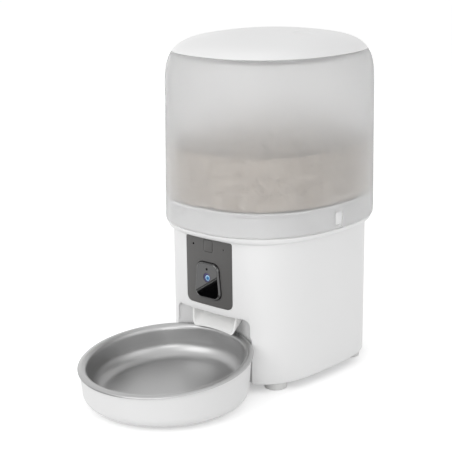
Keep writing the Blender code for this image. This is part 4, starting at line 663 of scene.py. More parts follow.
@dataclass
class Catch:
    """One sprung catch in the tank's skirt: a hooked face on a flange behind the base's collar."""

    form: TankForm
    side: Side
    front: float = 12.3 * MM
    rear: float = 2.0 * MM
    bottom: float = 152.4 * MM
    top: float = 163.7 * MM
    leg_width: float = 2.7 * MM
    leg_bottom: float = 148.7 * MM
    set_back: float = 1.1 * MM
    flange: float = 2.0 * MM
    flange_above: float = 0.6 * MM
    flange_thickness: float = 1.8 * MM
    back_clearance: float = 0.8 * MM
    corner: float = 1.6 * MM
    fit: float = 0.4 * MM
    collar_clearance: float = 0.5 * MM
    collar_wall: float = 2.4 * MM
    edge: float = 0.25 * MM
    segments: int = 5

    @property
    def collar(self) -> float:
        """Half-width of the base's collar."""
        return self.form.half_width - self.form.wall - self.collar_clearance

    def hooked(self, grow: float, near: float, far: float, to_edge: bool = False) -> BMesh:
        """Makes the hooked block that faces sideways.

        Args:
            grow: How much larger than the catch it is.
            near: Its inner distance from the feeder's axis.
            far: Its outer distance.
            to_edge: Whether the leg runs out of the skirt, as its slot does.

        Returns:
            The mesh.
        """
        front, rear, leg = -self.front - grow, -self.rear + grow, -self.rear - self.leg_width - grow
        low = self.form.skirt_bottom - OVERRUN if to_edge else self.leg_bottom - grow
        high, step = self.top + grow, self.bottom - grow
        corners = [(leg, low), (rear, low), (rear, high), (front, high), (front, step), (leg, step)]
        radius = self.corner + grow
        return self.sideways(slab(corners, [0, 0, radius / 2, radius, radius, 0], near, far, self.segments))

    def relief(self) -> BMesh:
        """Makes the room inside the skirt below the slot, so that the tank lifts past the catch."""
        front, rear = -self.front - self.fit, -self.rear - self.leg_width
        low = self.form.skirt_bottom - OVERRUN
        far = self.form.half_width - self.set_back + GAP
        return self.sideways(slab(box(front, rear, low, self.bottom), [0] * 4, self.collar - OVERRUN, far))

    def sideways(self, mesh: BMesh) -> BMesh:
        """Turns a slab drawn as (y, z) at a distance to face its own side."""
        for vert in mesh.verts:
            along, out, height = vert.co
            vert.co = (self.side.value * out, along, height)
        return outwards(mesh)

    def build(self, finish: Finish) -> Object:
        """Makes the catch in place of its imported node."""
        side = self.side.name.lower()
        back = self.collar - self.collar_wall - self.back_clearance
        block = self.hooked(0, back - self.flange_thickness / 2, self.form.half_width - self.set_back)
        face = blank(f"latch_{side}_face", block)
        front, rear = -self.front - self.flange, -self.rear + self.flange
        high = self.top + self.flange_above
        corners = box(front, rear, self.leg_bottom, high)
        flange = slab(corners, [self.corner] * 4, back - self.flange_thickness, back, self.segments)
        combine(face, Join.MERGE, blank("plate", self.sideways(flange)))
        return finished(round_edges(face, self.edge), finish, f"{side}_latch", "body_white", f"latch_{side}")


@dataclass
class Tank:
    """The frosted food tank with its funnel and the dry food in it."""

    form: TankForm
    catches: Sequence[Catch]
    skirt_edge: Spot = (1.3 * MM, 3.0 * MM)
    ledge_thickness: float = 1.8 * MM
    rim_depth: float = 3.9 * MM
    rim_width: float = 4.0 * MM
    funnel_wall: float = 2.0 * MM
    outlet_radius: float = 33.0 * MM
    outlet_top: float = 134.0 * MM
    outlet_bottom: float = 131.3 * MM
    food_level: float = 221.0 * MM
    food_bottom: float = 141.5 * MM
    food_gap: float = 1.2 * MM
    food_ease: float = 2.0 * MM
    food_steps: tuple[int, int, int] = (8, 12, 24)
    heap: float = 7.0 * MM
    heap_shape: Triple = (0.5, 0.8, 0.22)
    relief: float = 2.6 * MM
    lump: float = 9.0 * MM
    lumps: int = 420
    lump_share: Spot = (0.42, 0.55)
    lump_length: Spot = (0.7, 1.0)
    lump_round: float = 0.28
    lump_sharp: float = 1.2
    lump_rise: float = 0.1
    lump_lean: float = 0.9
    lump_sides: int = 9
    strewn_reach: float = 0.93
    edge: float = 0.45 * MM
    funnel_edge: float = 0.4 * MM
    skirt_steps: int = 6
    wall_steps: int = 9

    def build_shell(self, finish: Finish) -> Object:
        """Draws the wall up, over the shoulder, through the mouth's step and down inside, and cuts the slots."""
        form = self.form
        across, up = self.skirt_edge
        foot = arc((form.half_width - across, form.skirt_bottom + up), self.skirt_edge, -90, 0, self.skirt_steps)
        outer = [(form.half_width, form.widest)]
        for step in range(1, self.wall_steps + 1):
            height = form.widest + (form.shoulder_height - form.widest) * step / self.wall_steps
            outer.append((form.half_width_at(height), height))
        outer += form.shoulder_line()
        step = form.seam_half_width - form.mouth_step
        ledge, step_height = step - form.mouth_ledge, form.seam_height - form.mouth_step_depth
        mouth = [(form.seam_half_width, form.seam_height), (step, form.seam_height), (step, step_height)]
        mouth += [(ledge, step_height), (ledge, step_height - self.ledge_thickness)]
        inner = offset_line(outer, form.wall)[::-1] + [(form.half_width - form.wall, form.skirt_bottom + up / 4)]
        rings = form.rings(foot + outer + mouth + inner)
        shell = blank("tank_shell", Loft(rings).looped())
        cutters = []
        for catch in self.catches:
            cutters.append(blank("slot", catch.hooked(catch.fit, catch.collar, form.half_width + OVERRUN, True)))
            cutters.append(blank("relief", catch.relief()))
        shell = round_edges(combine(shell, Join.CUT, *cutters), self.edge)
        return finished(shell, finish, "tank", "frosted_tank", "hopper_shell")

    def build_funnel(self, finish: Finish) -> Object:
        """Makes the white funnel, whose rim shows as a line through the wall."""
        form = self.form
        rim = form.half_width_at(form.band_top) - form.wall - GAP
        spigot = self.outlet_radius + self.funnel_wall
        top, low = form.band_top, form.band_top - self.rim_depth
        rings = form.rings([(rim, top), (rim, low), (rim - self.rim_width, low)])
        rings += [circle(spigot, self.outlet_top), circle(spigot, self.outlet_bottom)]
        rings += [circle(self.outlet_radius, height) for height in (self.outlet_bottom, self.outlet_top + GAP)]
        rings.append(form.ring(rim - self.funnel_wall, top))
        funnel = blank("funnel", Loft(rings).looped())
        return finished(round_edges(funnel, self.funnel_edge), finish, "tank", "body_white", "hopper_floor")

    def food_height(self, x: float, y: float) -> float:
        """Returns the heap's height at a place: higher in the middle, sunk a little over the outlet."""
        share = math.hypot(x / self.form.half_width, y / self.form.half_depth)
        swell, dip, dip_width = self.heap_shape
        heap = swell * math.cos(math.pi * min(share, 1)) - dip * math.exp(-(share / dip_width) ** 2)
        return self.food_level + self.heap * heap

    def build_food(self, finish: Finish) -> Object:
        """Fills the funnel and the tank to its level with a lumpy mass, and strews pieces of food over it."""
        form = self.form
        wide = form.half_width_at(form.band_top) - form.wall - self.food_gap
        on_funnel, on_wall, on_heap = self.food_steps
        low = self.outlet_radius + self.food_ease
        rings = [circle(low, self.food_bottom)]
        brim = form.ring(wide - self.funnel_wall - self.food_ease, form.band_top)
        rings += [between(rings[0], brim, step / on_funnel) for step in range(1, on_funnel + 1)]
        for step in range(on_wall + 1):
            height = form.band_top + GAP + (self.food_level - form.band_top - GAP) * step / on_wall
            rings.append(form.ring(wide, height))
        for step in range(on_heap - 1, 1, -1):
            ring = form.ring(wide * step / on_heap, 0)
            for point in ring:
                point.z = self.food_height(point.x, point.y)
            rings.append(ring)
        mesh = Loft(rings).capped(end=self.food_height(0, 0))
        mesh.normal_update()
        for vert in mesh.verts:
            nearest = noise.voronoi(vert.co / self.lump)[0][0]
            vert.co -= vert.normal * (self.relief * min(nearest, 1))
        self.strew(mesh)
        return finished(blank("dry_food", mesh), finish, "tank", "frosted_tank", smooth=60)

    def strew(self, mesh: BMesh) -> None:
        """Adds single pieces of food on top of the mass."""
        draw = Random(7)
        for _ in range(self.lumps):
            angle, share = draw.uniform(0, 2 * math.pi), math.sqrt(draw.uniform(0, 1)) * self.strewn_reach
            edge = self.form.ring(self.form.half_width - self.form.wall - self.food_gap - self.lump / 2, 0)
            rim = edge[int(angle / (2 * math.pi) * AROUND)]
            x, y = rim.x * share, rim.y * share
            turn = Matrix.Rotation(draw.uniform(0, math.pi), 4, "Z")
            turn @= Matrix.Rotation(draw.uniform(-self.lump_lean, self.lump_lean), 4, "X")
            size = self.lump * draw.uniform(*self.lump_share)
            place = Matrix.Translation((x, y, self.food_height(x, y) + size * self.lump_rise)) @ turn
            made = bmesh.ops.create_cone(
                mesh, cap_ends=True, cap_tris=False, segments=self.lump_sides, radius1=size, radius2=size,
                depth=size * draw.uniform(*self.lump_length), matrix=place
            )["verts"]
            around = {edge for vert in made for edge in vert.link_edges if len(edge.link_faces) == 2}
            sharp = [edge for edge in around if edge.calc_face_angle() > self.lump_sharp]
            bevel(mesh, sharp, size * self.lump_round, 1)


@dataclass
class Lid:
    """The white lid that carries the shoulder's curve on, with two shallow finger dimples on top."""

    form: TankForm
    wall: float = 2.4 * MM
    rim_depth: float = 1.3 * MM
    dimple_x: float = 34.0 * MM
    dimple_y: float = 6.0 * MM
    dimple_radius: float = 9.5 * MM
    dimple_depth: float = 1.3 * MM
    edge: float = 0.4 * MM
    steps: int = 40
    inner_every: int = 4

    def dimple(self, side: int) -> Object:
        """Makes the flat round body that sinks one dimple, leant to the crown's slope."""
        line = arc((0, 0), (self.dimple_radius, self.dimple_depth), -80, 80, 16)
        mesh = spun([(0, -self.dimple_depth), *line, (0, self.dimple_depth)])
        height = self.form.top(self.dimple_x)
        slope = math.atan2(self.form.top(self.dimple_x - MM) - height, MM)
        place = Matrix.Translation((side * self.dimple_x, self.dimple_y, height))
        bmesh.ops.transform(mesh, verts=mesh.verts[:], matrix=place @ Matrix.Rotation(side * slope, 4, "Y"))
        return blank("dimple", mesh)

    def build(self, finish: Finish) -> Object:
        """Draws the lid from the middle of its top, out to the seam, round its plug and back inside."""
        form = self.form
        widths = [form.seam_half_width * step / self.steps for step in range(1, self.steps)]
        rings = form.rings([(width, form.top(width)) for width in widths])
        rim = form.seam_height + GAP
        plug = form.seam_half_width - form.mouth_step - GAP
        plug_inner = plug - form.mouth_ledge
        low = rim - self.rim_depth
        rings += form.rings([(form.seam_half_width, rim), (plug, rim), (plug, low), (plug_inner, low)])
        under = offset_line([(width, form.top(width)) for width in widths[::self.inner_every]][::-1], self.wall)
        rings += form.rings([point for point in under if point[0] < plug_inner - self.wall / 2])
        top = form.top(0)
        lid = blank("lid", Loft(rings).capped(top, top - self.wall))
        combine(round_edges(lid, self.edge), Join.CUT, *(self.dimple(side.value) for side in Side))
        return finished(lid, finish, "lid", "lid_white", "lid_cap", smooth=25)


@dataclass
class Base:
    """The white base: a squarer oval with a lip under the skirt, the bowl's recess and the panel's place."""

    form: TankForm
    catches: Sequence[Catch]
    bottom: float = 8.0 * MM
    half_width: float = 74.5 * MM
    half_depth: float = 88.0 * MM
    top_half_width: float = 73.9 * MM
    top_half_depth: float = 89.1 * MM
    squareness: float = 3.2
    wall: float = 3.0 * MM
    edge: float = 0.8 * MM
    edge_angles: Sequence[float] = (-1.57, -1.05, -0.52, 0)
    opening_edge: float = 0.4 * MM
    wall_steps: int = 12
    lip_start: float = 139.8 * MM
    lip_half_width: float = 86.5 * MM
    lip_line: Line = ((0, 0), (0.04, 0.15), (0.22, 0.20), (0.55, 0.26), (0.82, 0.46), (0.96, 0.76), (1, 1))
    collar_wall: float = 2.4 * MM
    rim_depth: float = 3.9 * MM
    deck: float = 3.0 * MM
    hole: Spot = (57.0 * MM, 64.0 * MM)
    recess_top: float = 70.0 * MM
    recess_half: float = 44.8 * MM
    recess_corner: float = 7.0 * MM
    relief_width: float = 3.6 * MM
    relief_top: float = 52.5 * MM
    relief_corner: float = 2.0 * MM
    bowl_reach: float = 79.5 * MM
    recess_around: int = 160
    screw: Spot = (67.5 * MM, 24.0 * MM)
    boss: Triple = (5.0 * MM, 10.8 * MM, 18.0 * MM)
    screw_radius: float = 1.5 * MM
    post_around: int = 24
    inlet_height: float = 64.0 * MM
    inlet_radius: float = 5.5 * MM

    def halves(self, height: float, inset: float = 0.0) -> Spot:
        """Returns the wall's half-width and half-depth at a height."""
        share = (height - self.bottom) / (self.lip_start - self.bottom)
        half_width = self.half_width + (self.top_half_width - self.half_width) * share
        return half_width - inset, self.half_depth + (self.top_half_depth - self.half_depth) * share - inset

    def ring(self, height: float, inset: float = 0.0) -> list[Vector]:
        """Returns the wall's ring at a height, moved inwards by inset."""
        return oval(*self.halves(height, inset), self.squareness, height)

    def wall_rings(self) -> list[list[Vector]]:
        """Returns the rings up the wall, out to the lip, round the collar, over the deck and down inside."""
        lip_top = self.form.skirt_bottom - GAP
        low, climb = self.bottom + self.edge, self.lip_start - self.bottom - self.edge
        rings = []
        for angle in self.edge_angles:
            rise, inset = self.edge * (1 + math.sin(angle)), self.edge * (1 - math.cos(angle))
            rings.append(self.ring(self.bottom + rise, inset))
        rings += [self.ring(low + climb * step / self.wall_steps) for step in range(1, self.wall_steps)]
        inner, outer = self.ring(self.lip_start), self.form.ring(self.lip_half_width, lip_top)
        for out, up in smooth_line(self.lip_line):
            rings.append(level(between(inner, outer, out), self.lip_start + (lip_top - self.lip_start) * up))
        collar = self.catches[0].collar
        bore, collar_top = collar - self.collar_wall, self.form.band_top - self.rim_depth - GAP
        rings += self.form.rings([(collar, lip_top), (collar, collar_top), (bore, collar_top), (bore, lip_top)])
        rings += [oval(*self.hole, self.form.squareness, height) for height in (lip_top, lip_top - self.deck)]
        inside = level(self.ring(self.lip_start, self.wall), lip_top - self.deck)
        return [*rings, inside, self.ring(self.bottom, self.wall)]

    def recess(self, grow: float, near: float, far: float) -> Object:
        """Makes the bowl's room as a block: its front outline within a cylinder about the bowl.

        Args:
            grow: How much larger than the room it is.
            near: Y of the block's front.
            far: Y of its back.

        Returns:
            The block.
        """
        half, top = self.recess_half + grow, self.recess_top + grow
        flare, bend = half + self.relief_width, self.relief_top - self.relief_width
        corners = [(-flare, -OVERRUN), (flare, -OVERRUN), (flare, bend), (half, self.relief_top)]
        corners += [(half, top), (-half, top), (-half, self.relief_top), (-flare, bend)]
        radius, small = self.recess_corner + grow, self.relief_corner
        radii = [0, 0, small, small, radius, radius, small, small]
        block = blank("recess_block", slab(corners, radii, near, far))
        reach = rod(self.bowl_reach + grow, -OVERRUN, top + OVERRUN, self.recess_around)
        return combine(block, Join.KEEP, blank("reach", moved(reach, (0, -BOWL_OFFSET * MM, 0))))

    def posts(self, radius: float, low: float, high: float) -> list[Object]:
        """Makes four upright bars where the bottom plate is screwed on."""
        made = []
        for side in (-1, 1):
            for end in (-1, 1):
                place = (side * self.screw[0], end * self.screw[1], 0)
                made.append(blank("post", moved(rod(radius, low, high, self.post_around), place)))
        return made

    def build(self, finish: Finish, panel_cutters: Sequence[Object], chute: Object) -> Object:
        """Makes the shell with its recess and every opening in it.

        Args:
            finish: Its surface.
            panel_cutters: The panel's rebate and openings.
            chute: The chute's block, a little larger than the chute.

        Returns:
            The base.
        """
        rings = self.wall_rings()
        shell = blank("base", Loft(rings).looped())
        front, back = -self.half_depth - OVERRUN, -self.half_depth / 2
        pocket = self.recess(self.wall, front, back)
        heights = (self.bottom, self.recess_top + 2 * self.wall)
        inside = Loft([self.ring(height, self.wall / 2) for height in heights]).capped()
        combine(pocket, Join.KEEP, blank("inside", inside))
        radius, low, high = self.boss
        combine(shell, Join.MERGE, pocket, *self.posts(radius, low, high))
        cutters = self.posts(self.screw_radius + GAP, self.bottom, high + OVERRUN)
        inlet = rod(self.inlet_radius + GAP, -OVERRUN, self.wall + OVERRUN)
        place = (0, self.halves(self.inlet_height, self.wall)[1], self.inlet_height)
        cutters.append(blank("inlet", moved(inlet, place, -math.pi / 2)))
        for catch in self.catches:
            near, far = catch.collar - catch.collar_wall - OVERRUN, catch.collar + GAP
            cutters.append(blank("catch_way", catch.hooked(catch.fit, near, far)))
        combine(shell, Join.CUT, *cutters, self.recess(0, 2 * front, back), *panel_cutters, chute)
        return finished(round_edges(shell, self.opening_edge), finish, "base", "body_white", "base_shell")


def outline(corners: Line, radii: Sequence[float], y: float = 0.0, segments: int = 8) -> list[Vector]:
    """Returns the points round a front face whose corners are rounded one by one."""
    mesh = slab(corners, radii, y, y + 1.0, segments)
    face = min(mesh.faces, key=lambda item: item.calc_center_median().y)
    points = [loop.vert.co.copy() for loop in face.loops]
    mesh.free()
    return points


@dataclass
class Panel:
    """The dark front panel with its button, its indicator and its microphone hole."""

    base: Base
    half_width: float = 28.0 * MM
    bottom: float = 76.4 * MM
    top: float = 139.6 * MM
    thickness: float = 1.6 * MM
    top_corner: float = 2.0 * MM
    bottom_corner: float = 6.0 * MM
    ledge: float = 2.0 * MM
    button_size: float = 10.8 * MM
    button_corner: float = 1.8 * MM
    button_height: float = 133.2 * MM
    button_depth: float = 3.0 * MM
    indicator: Triple = (-18.4 * MM, 132.6 * MM, 1.1 * MM)
    microphone: Triple = (18.6 * MM, 132.6 * MM, 0.6 * MM)
    near: float = FRONT - OVERRUN
    far: float = FRONT + 2 * OVERRUN
    edge: float = 0.22 * MM
    button_edge: float = 0.35 * MM
    fit: float = 0.4 * MM

    def block(self, grow: float, far: float) -> BMesh:
        """Makes the panel's outline as a block."""
        half, low, high = self.half_width + grow, self.bottom - grow, self.top + grow
        foot, head = self.bottom_corner + grow, self.top_corner + max(grow, 0)
        return slab(box(-half, half, low, high), [foot, foot, head, head], self.near, far)

    def band(self, outer: float, inner: float) -> Object:
        """Makes a band of the wall between two insets, for the panel to take its curve from."""
        low, high = self.bottom - OVERRUN, self.top + OVERRUN
        corners = ((low, outer), (high, outer), (high, inner), (low, inner))
        return blank("band", Loft([self.base.ring(*corner) for corner in corners]).looped())

    def button_block(self, grow: float, near: float, far: float) -> BMesh:
        """Makes the square button, or the room for it."""
        half = self.button_size / 2 + grow
        low, high = self.button_height - half, self.button_height + half
        return slab(box(-half, half, low, high), [self.button_corner + grow] * 4, near, far)

    def cutters(self) -> list[Object]:
        """Makes the rebate for the panel and the openings behind it."""
        far = FRONT + 2 * OVERRUN + self.base.wall
        band = self.band(-OVERRUN, self.thickness + GAP)
        rebate = combine(blank("rebate", self.block(GAP, far)), Join.KEEP, band)
        room = blank("room", self.button_block(self.fit, self.near, far))
        return [rebate, blank("opening", self.block(-self.ledge, far)), room]

    def build(self, finish: Finish, button: Finish, pod_room: Object) -> None:
        """Makes the panel and its button.

        Args:
            finish: The panel's surface.
            button: The button's surface.
            pod_room: The camera pod's outline, to be cut.
        """
        panel = combine(blank("panel", self.block(0, self.far)), Join.KEEP, self.band(0, self.thickness))
        holes = [pod_room, blank("button_room", self.button_block(GAP, self.near, self.far))]
        for x, z, radius in (self.indicator, self.microphone):
            holes.append(blank("hole", peg(radius, -2 * OVERRUN, OVERRUN, (x, z), SMALL)))
        combine(panel, Join.CUT, *holes)
        finished(round_edges(panel, self.edge), finish, "base", "panel_black", "front_panel", flat=True)
        face = blank("button", self.button_block(0, FRONT - GAP / 2, FRONT + self.button_depth))
        finished(round_edges(face, self.button_edge, 3), button, "button", "dark_plastic", "feed_button")


@dataclass
class Pod:
    """The camera pod that stands proud of the panel: a drafted housing, a glossy window and the lens."""

    bottom: float = 83.0 * MM
    top: float = 117.8 * MM
    top_half: float = 13.0 * MM
    bottom_half: float = 16.4 * MM
    top_corner: float = 6.5 * MM
    bottom_corner: float = 8.0 * MM
    proud: float = 1.9 * MM
    draft: float = 1.5 * MM
    shares: Line = ((0.0, 0.0), (0.25, 0.5), (0.55, 0.85), (1.0, 1.0))
    wall: float = 1.4 * MM
    depth: float = 14.0 * MM
    panel: float = 1.6 * MM
    window_inset: float = 0.1 * MM
    window_gap: float = 0.05 * MM
    window: float = 0.9 * MM
    lens_height: float = 103.5 * MM
    lens_radius: float = 3.3 * MM
    barrel_wall: float = 0.8 * MM
    glass_depth: float = 0.3 * MM
    sensor_height: float = 111.5 * MM
    sensor_radius: float = 1.0 * MM
    edge: float = 0.15 * MM
    edge_above: float = 50.0
    window_edge: float = 0.12 * MM
    rim_edge: float = 0.2 * MM
    cone_step: float = 0.15 * MM
    dome: float = 0.5 * MM
    dome_angles: Sequence[float] = (0, 0.4, 0.8, 1.2, math.pi / 2)

    def ring(self, inset: float, depth: float) -> Ring:
        """Returns the pod's outline moved inwards by inset, at a depth behind the wall's front."""
        low, high = self.bottom + inset, self.top - inset
        foot, head = self.bottom_half - inset, self.top_half - inset
        below, above = self.bottom_corner - inset / 2, self.top_corner - inset / 2
        corners = [(-foot, low), (foot, low), (head, high), (-head, high)]
        return outline(corners, [below, below, above, above], FRONT + depth)

    def room(self) -> Object:
        """Makes the room that the pod takes in the panel."""
        return blank("pod_room", Loft([self.ring(-GAP, -OVERRUN), self.ring(-GAP, 2 * OVERRUN)]).capped())

    def bores(self, over: float = GAP) -> Object:
        """Makes the holes for the lens and the light sensor."""
        far = self.proud + OVERRUN
        lens = peg(self.lens_radius + self.barrel_wall + over, -OVERRUN, far, (0, self.lens_height))
        sensor = peg(self.sensor_radius + over, -OVERRUN, far, (0, self.sensor_height), SMALL)
        return combine(blank("bores", lens), Join.MERGE, blank("sensor_bore", sensor))

    def build(self, housing: Finish, glass: Finish, barrel: Finish, lens: Finish, sensor: Finish) -> None:
        """Makes the housing, the window, the barrel, the lens and the sensor behind its hole."""
        face, start = -self.proud, self.panel / 2
        rings = [self.ring(0, self.depth)]
        for share, out in smooth_line(self.shares, 3):
            rings.append(self.ring(self.draft * share, start + (face - start) * out))
        shell = blank("pod", Loft(rings).capped())
        hollow = Loft([self.ring(self.wall, self.depth + OVERRUN), self.ring(self.wall, self.panel)]).capped()
        inset = self.draft + self.window_inset
        rebate = Loft([self.ring(inset, face + self.window + GAP), self.ring(inset, face - OVERRUN)]).capped()
        combine(shell, Join.CUT, blank("hollow", hollow), blank("window_room", rebate), self.bores())
        shell = round_edges(shell, self.edge, above=self.edge_above)
        finished(shell, housing, "base", "dark_plastic", "pod_housing", flat=True)
        inset += self.window_gap
        plate = blank("window", Loft([self.ring(inset, face + self.window), self.ring(inset, face)]).capped())
        combine(plate, Join.CUT, self.bores(GAP / 2))
        finished(round_edges(plate, self.window_edge), glass, "base", "panel_black", "pod_window", flat=True)
        self.build_lens(barrel, lens)
        pipe = blank("sensor", peg(self.sensor_radius, 0, self.proud - GAP, (0, self.sensor_height), SMALL))
        finished(round_edges(pipe, self.edge), sensor, "base", "dark_plastic", "light_sensor")

    def build_lens(self, barrel: Finish, lens: Finish) -> None:
        """Spins the barrel, whose front is a stepped cone, and the domed glass in it."""
        front, back = self.proud - GAP / 2, -self.depth
        outer, inner = self.lens_radius + self.barrel_wall, self.lens_radius
        line = [(outer, back), (outer, front - self.rim_edge), (outer - self.rim_edge, front)]
        low, bore = front - self.glass_depth, inner - GAP / 2
        line += [(inner + self.cone_step, front), (inner, front - self.cone_step)]
        line += [(inner, low), (bore, low), (bore, back)]
        tube = blank("barrel", turned_to_front(spun(line, looped=True), 0, self.lens_height))
        finished(tube, barrel, "base", "panel_black", "lens_barrel")
        radius = inner - GAP / 4
        dome = []
        for angle in self.dome_angles:
            dome.append((radius * math.sin(angle), low - self.dome + self.dome * math.cos(angle)))
        shape = spun([*dome, (radius, low - radius), (0, low - radius)])
        glass = blank("lens", turned_to_front(shape, 0, self.lens_height))
        finished(glass, lens, "base", "lens_glass", "lens_glass")


@dataclass
class Chute:
    """The white chute that brings a portion down into the bowl, with a hollowed lip."""

    wall: float = 1.8 * MM
    lip_y: float = 83.5 * MM
    lip_height: float = 50.6 * MM
    slope: float = (104.5 - 50.6) / (83.5 - 10.7)
    rounding: float = 5.0 * MM
    segments: int = 6
    edge: float = 0.6 * MM
    fit: float = 0.4 * MM
    bite_around: int = 240
    front_height: float = 21.5 * MM
    lean: float = 3.3 * MM
    lip_half: float = 26.0 * MM
    ceiling_half: float = 28.0 * MM
    top_half: float = 23.8 * MM
    bend: float = 104.5 * MM
    top: float = 108.0 * MM
    sag: float = 1.7 * MM

    def block(self, grow: float, overrun: float = 0.0) -> Object:
        """Makes the chute's outer block, grown by a margin, or its inner room when the margin is negative."""
        steep = grow * math.hypot(1, self.slope)
        outer = max(grow, 0)
        lip_y = -self.lip_y - overrun - outer
        lip_z = self.lip_height - steep - (overrun + outer) * self.slope
        brow_y, brow_z = lip_y + self.lean, lip_z + self.front_height + 2 * steep
        rear, fore = lip_y + (self.bend - lip_z) / self.slope, brow_y + (self.bend - brow_z) / self.slope
        low, high, top = self.lip_half + grow, self.ceiling_half + grow, self.top_half + grow
        rings = []
        for first, second, floor, ceiling in (
            ((lip_y, lip_z), (brow_y, brow_z), low, high),
            ((rear, self.bend), (fore, self.bend), top, top),
            ((rear, self.top + overrun), (fore, self.top + overrun), top, top),
        ):
            corners = ((-floor, *first), (floor, *first), (ceiling, *second), (-ceiling, *second))
            rings.append([Vector(corner) for corner in corners])
        loft = Loft(rings)
        mesh = loft.capped()
        edges = []
        for lower, upper in zip(loft.rings, loft.rings[1:]):
            edges += [mesh.edges.get(pair) for pair in zip(lower[:2], upper[:2])]
        bevel(mesh, edges, self.rounding + grow, self.segments)
        return blank("chute_block", mesh)

    def build(self, finish: Finish) -> Object:
        """Hollows the block and cuts the lip's arc."""
        chute = combine(self.block(0), Join.CUT, self.block(-self.wall, OVERRUN))
        chute.name = "food_chute"
        half = self.lip_half - self.wall
        radius = (half**2 + self.sag**2) / (2 * self.sag)
        high = self.lip_height + self.sag * self.slope + 2 * self.wall
        bite = rod(radius, self.lip_height - OVERRUN, high, self.bite_around)
        combine(chute, Join.CUT, blank("bite", moved(bite, (0, self.sag - self.lip_y - radius, 0))))
        return finished(round_edges(chute, self.edge, 3), finish, "base", "body_white", "chute", flat=True)


@dataclass
class Bowl:
    """The bowl: a spun steel dish hung by its flange in a round white tray, both slanting down to the front.

    The bends are points on the dish's line: wall_bend in shares of the wall's run and height, mouth_bend in
    millimetres out and up from the mouth, flange_bend in millimetres out with shares of the crown and of the
    groove, and rim_bend in millimetres in from the rim with shares of the crown.
    """

    rim_height: float = 41.2 * MM
    tilt: float = BOWL_TILT
    rim_radius: float = BOWL_RIM * MM
    mouth_radius: float = 71.8 * MM
    foot_radius: float = 69.6 * MM
    flange_crown: float = 1.2 * MM
    edge_drop: float = 1.0 * MM
    depth: float = 28.0 * MM
    fillet: float = 13.0 * MM
    thickness: float = 1.0 * MM
    groove: float = 0.35 * MM
    floor_steps: int = 6
    fillet_steps: int = 14
    wall_bend: Line = ((0.30, 0.70), (0.52, 0.86))
    mouth_bend: Line = ((-0.6, -1.3), (0.0, -0.4), (0.8, 0.35))
    flange_bend: Sequence[Triple] = ((1.6, 0.78, 0.0), (2.0, 0.85, 1.0), (2.4, 0.9, 1.0), (2.8, 0.97, 0.0))
    rim_bend: Line = ((2.0, 0.8), (0.7, 0.3))
    tray_foot: float = 74.9 * MM
    tray_rim: float = 77.1 * MM
    tray_bottom: float = 0.0 * MM
    tray_rounding: Spot = (24.0 * MM, 13.2 * MM)
    tray_wall: float = 2.4 * MM
    tray_floor: float = 2.0 * MM
    tray_room: float = 74.0 * MM
    tray_shares: Sequence[float] = (0.35, 0.7, 1.0)
    tray_steps: int = 16
    tray_edge: float = 0.5 * MM

    @property
    def centre(self) -> Vector:
        """The middle of the bowl's rim, in the shared frame."""
        return Vector((0, FEEDER_Y - BOWL_OFFSET * MM, self.rim_height))

    def place(self) -> Matrix:
        """Returns where the steel dish goes from its own upright axis."""
        return Matrix.Translation(self.centre) @ Matrix.Rotation(math.radians(self.tilt), 4, "X")

    def upper_line(self, groove: float = 0.0) -> list[Spot]:
        """Returns the dish's inner face from the middle of its floor, up its wall and over its flange.

        Args:
            groove: Depth of the fine groove that the turning leaves round the flange.
        """
        floor, foot, lip, rim = -self.depth, self.foot_radius, self.mouth_radius, self.rim_radius
        flat, crown = foot - self.fillet, self.flange_crown
        line = [(flat * step / self.floor_steps, floor) for step in range(1, self.floor_steps)]
        line += arc((flat, floor + self.fillet), (self.fillet, self.fillet), -90, 0, self.fillet_steps)
        line += [(foot + (lip - foot) * out, floor + self.depth * up) for out, up in self.wall_bend]
        line += [(lip + out * MM, up * MM) for out, up in self.mouth_bend]
        line += [(lip + out * MM, crown * up - groove * sunk) for out, up, sunk in self.flange_bend]
        line += [((lip + rim) / 2, crown), *((rim - back * MM, crown * up) for back, up in self.rim_bend)]
        return line + [(rim, -self.edge_drop * 0.3), (rim, -self.edge_drop)]

    def build(self, steel: Finish, plastic: Finish) -> None:
        """Spins the dish and draws the tray under it."""
        edge = self.rim_radius - self.thickness
        lower = [point for point in offset_line(self.upper_line(), -self.thickness)[:-1] if point[0] < edge]
        profile = [(0, -self.depth), *self.upper_line(self.groove), (edge, -self.edge_drop)]
        profile += [*lower[::-1], (0, -self.depth - self.thickness)]
        dish = blank("bowl_dish", spun(profile, AROUND))
        finished(dish, steel, "bowl", "brushed_steel", "steel_bowl", place=self.place(), smooth=50)
        self.build_tray(plastic)

    def build_tray(self, finish: Finish) -> Object:
        """Draws the tray's round shell, whose rim slants with the dish."""
        slope = math.tan(math.radians(self.tilt))
        across, up = self.tray_rounding
        rim = self.rim_height - self.thickness / math.cos(math.radians(self.tilt))
        middle = (self.tray_foot - across, self.tray_bottom + up)
        rings = [circle(*point) for point in arc(middle, self.tray_rounding, -90, 0, self.tray_steps)]
        foot, top = circle(self.tray_foot, self.tray_bottom + up), circle(self.tray_rim, rim, slope)
        rings += [between(foot, top, share) for share in self.tray_shares]
        rings.append(circle(self.tray_room, rim, slope))
        radii = (across - self.tray_wall, up - self.tray_floor)
        rings += [circle(*point) for point in arc(middle, radii, 0, -90, self.tray_steps)]
        tray = blank("tray", Loft(rings).capped())
        place = Matrix.Translation((0, self.centre.y, 0))
        tray = round_edges(tray, self.tray_edge, 3, above=50)
        return finished(tray, finish, "bowl", "body_white", "bowl_tray", place=place)


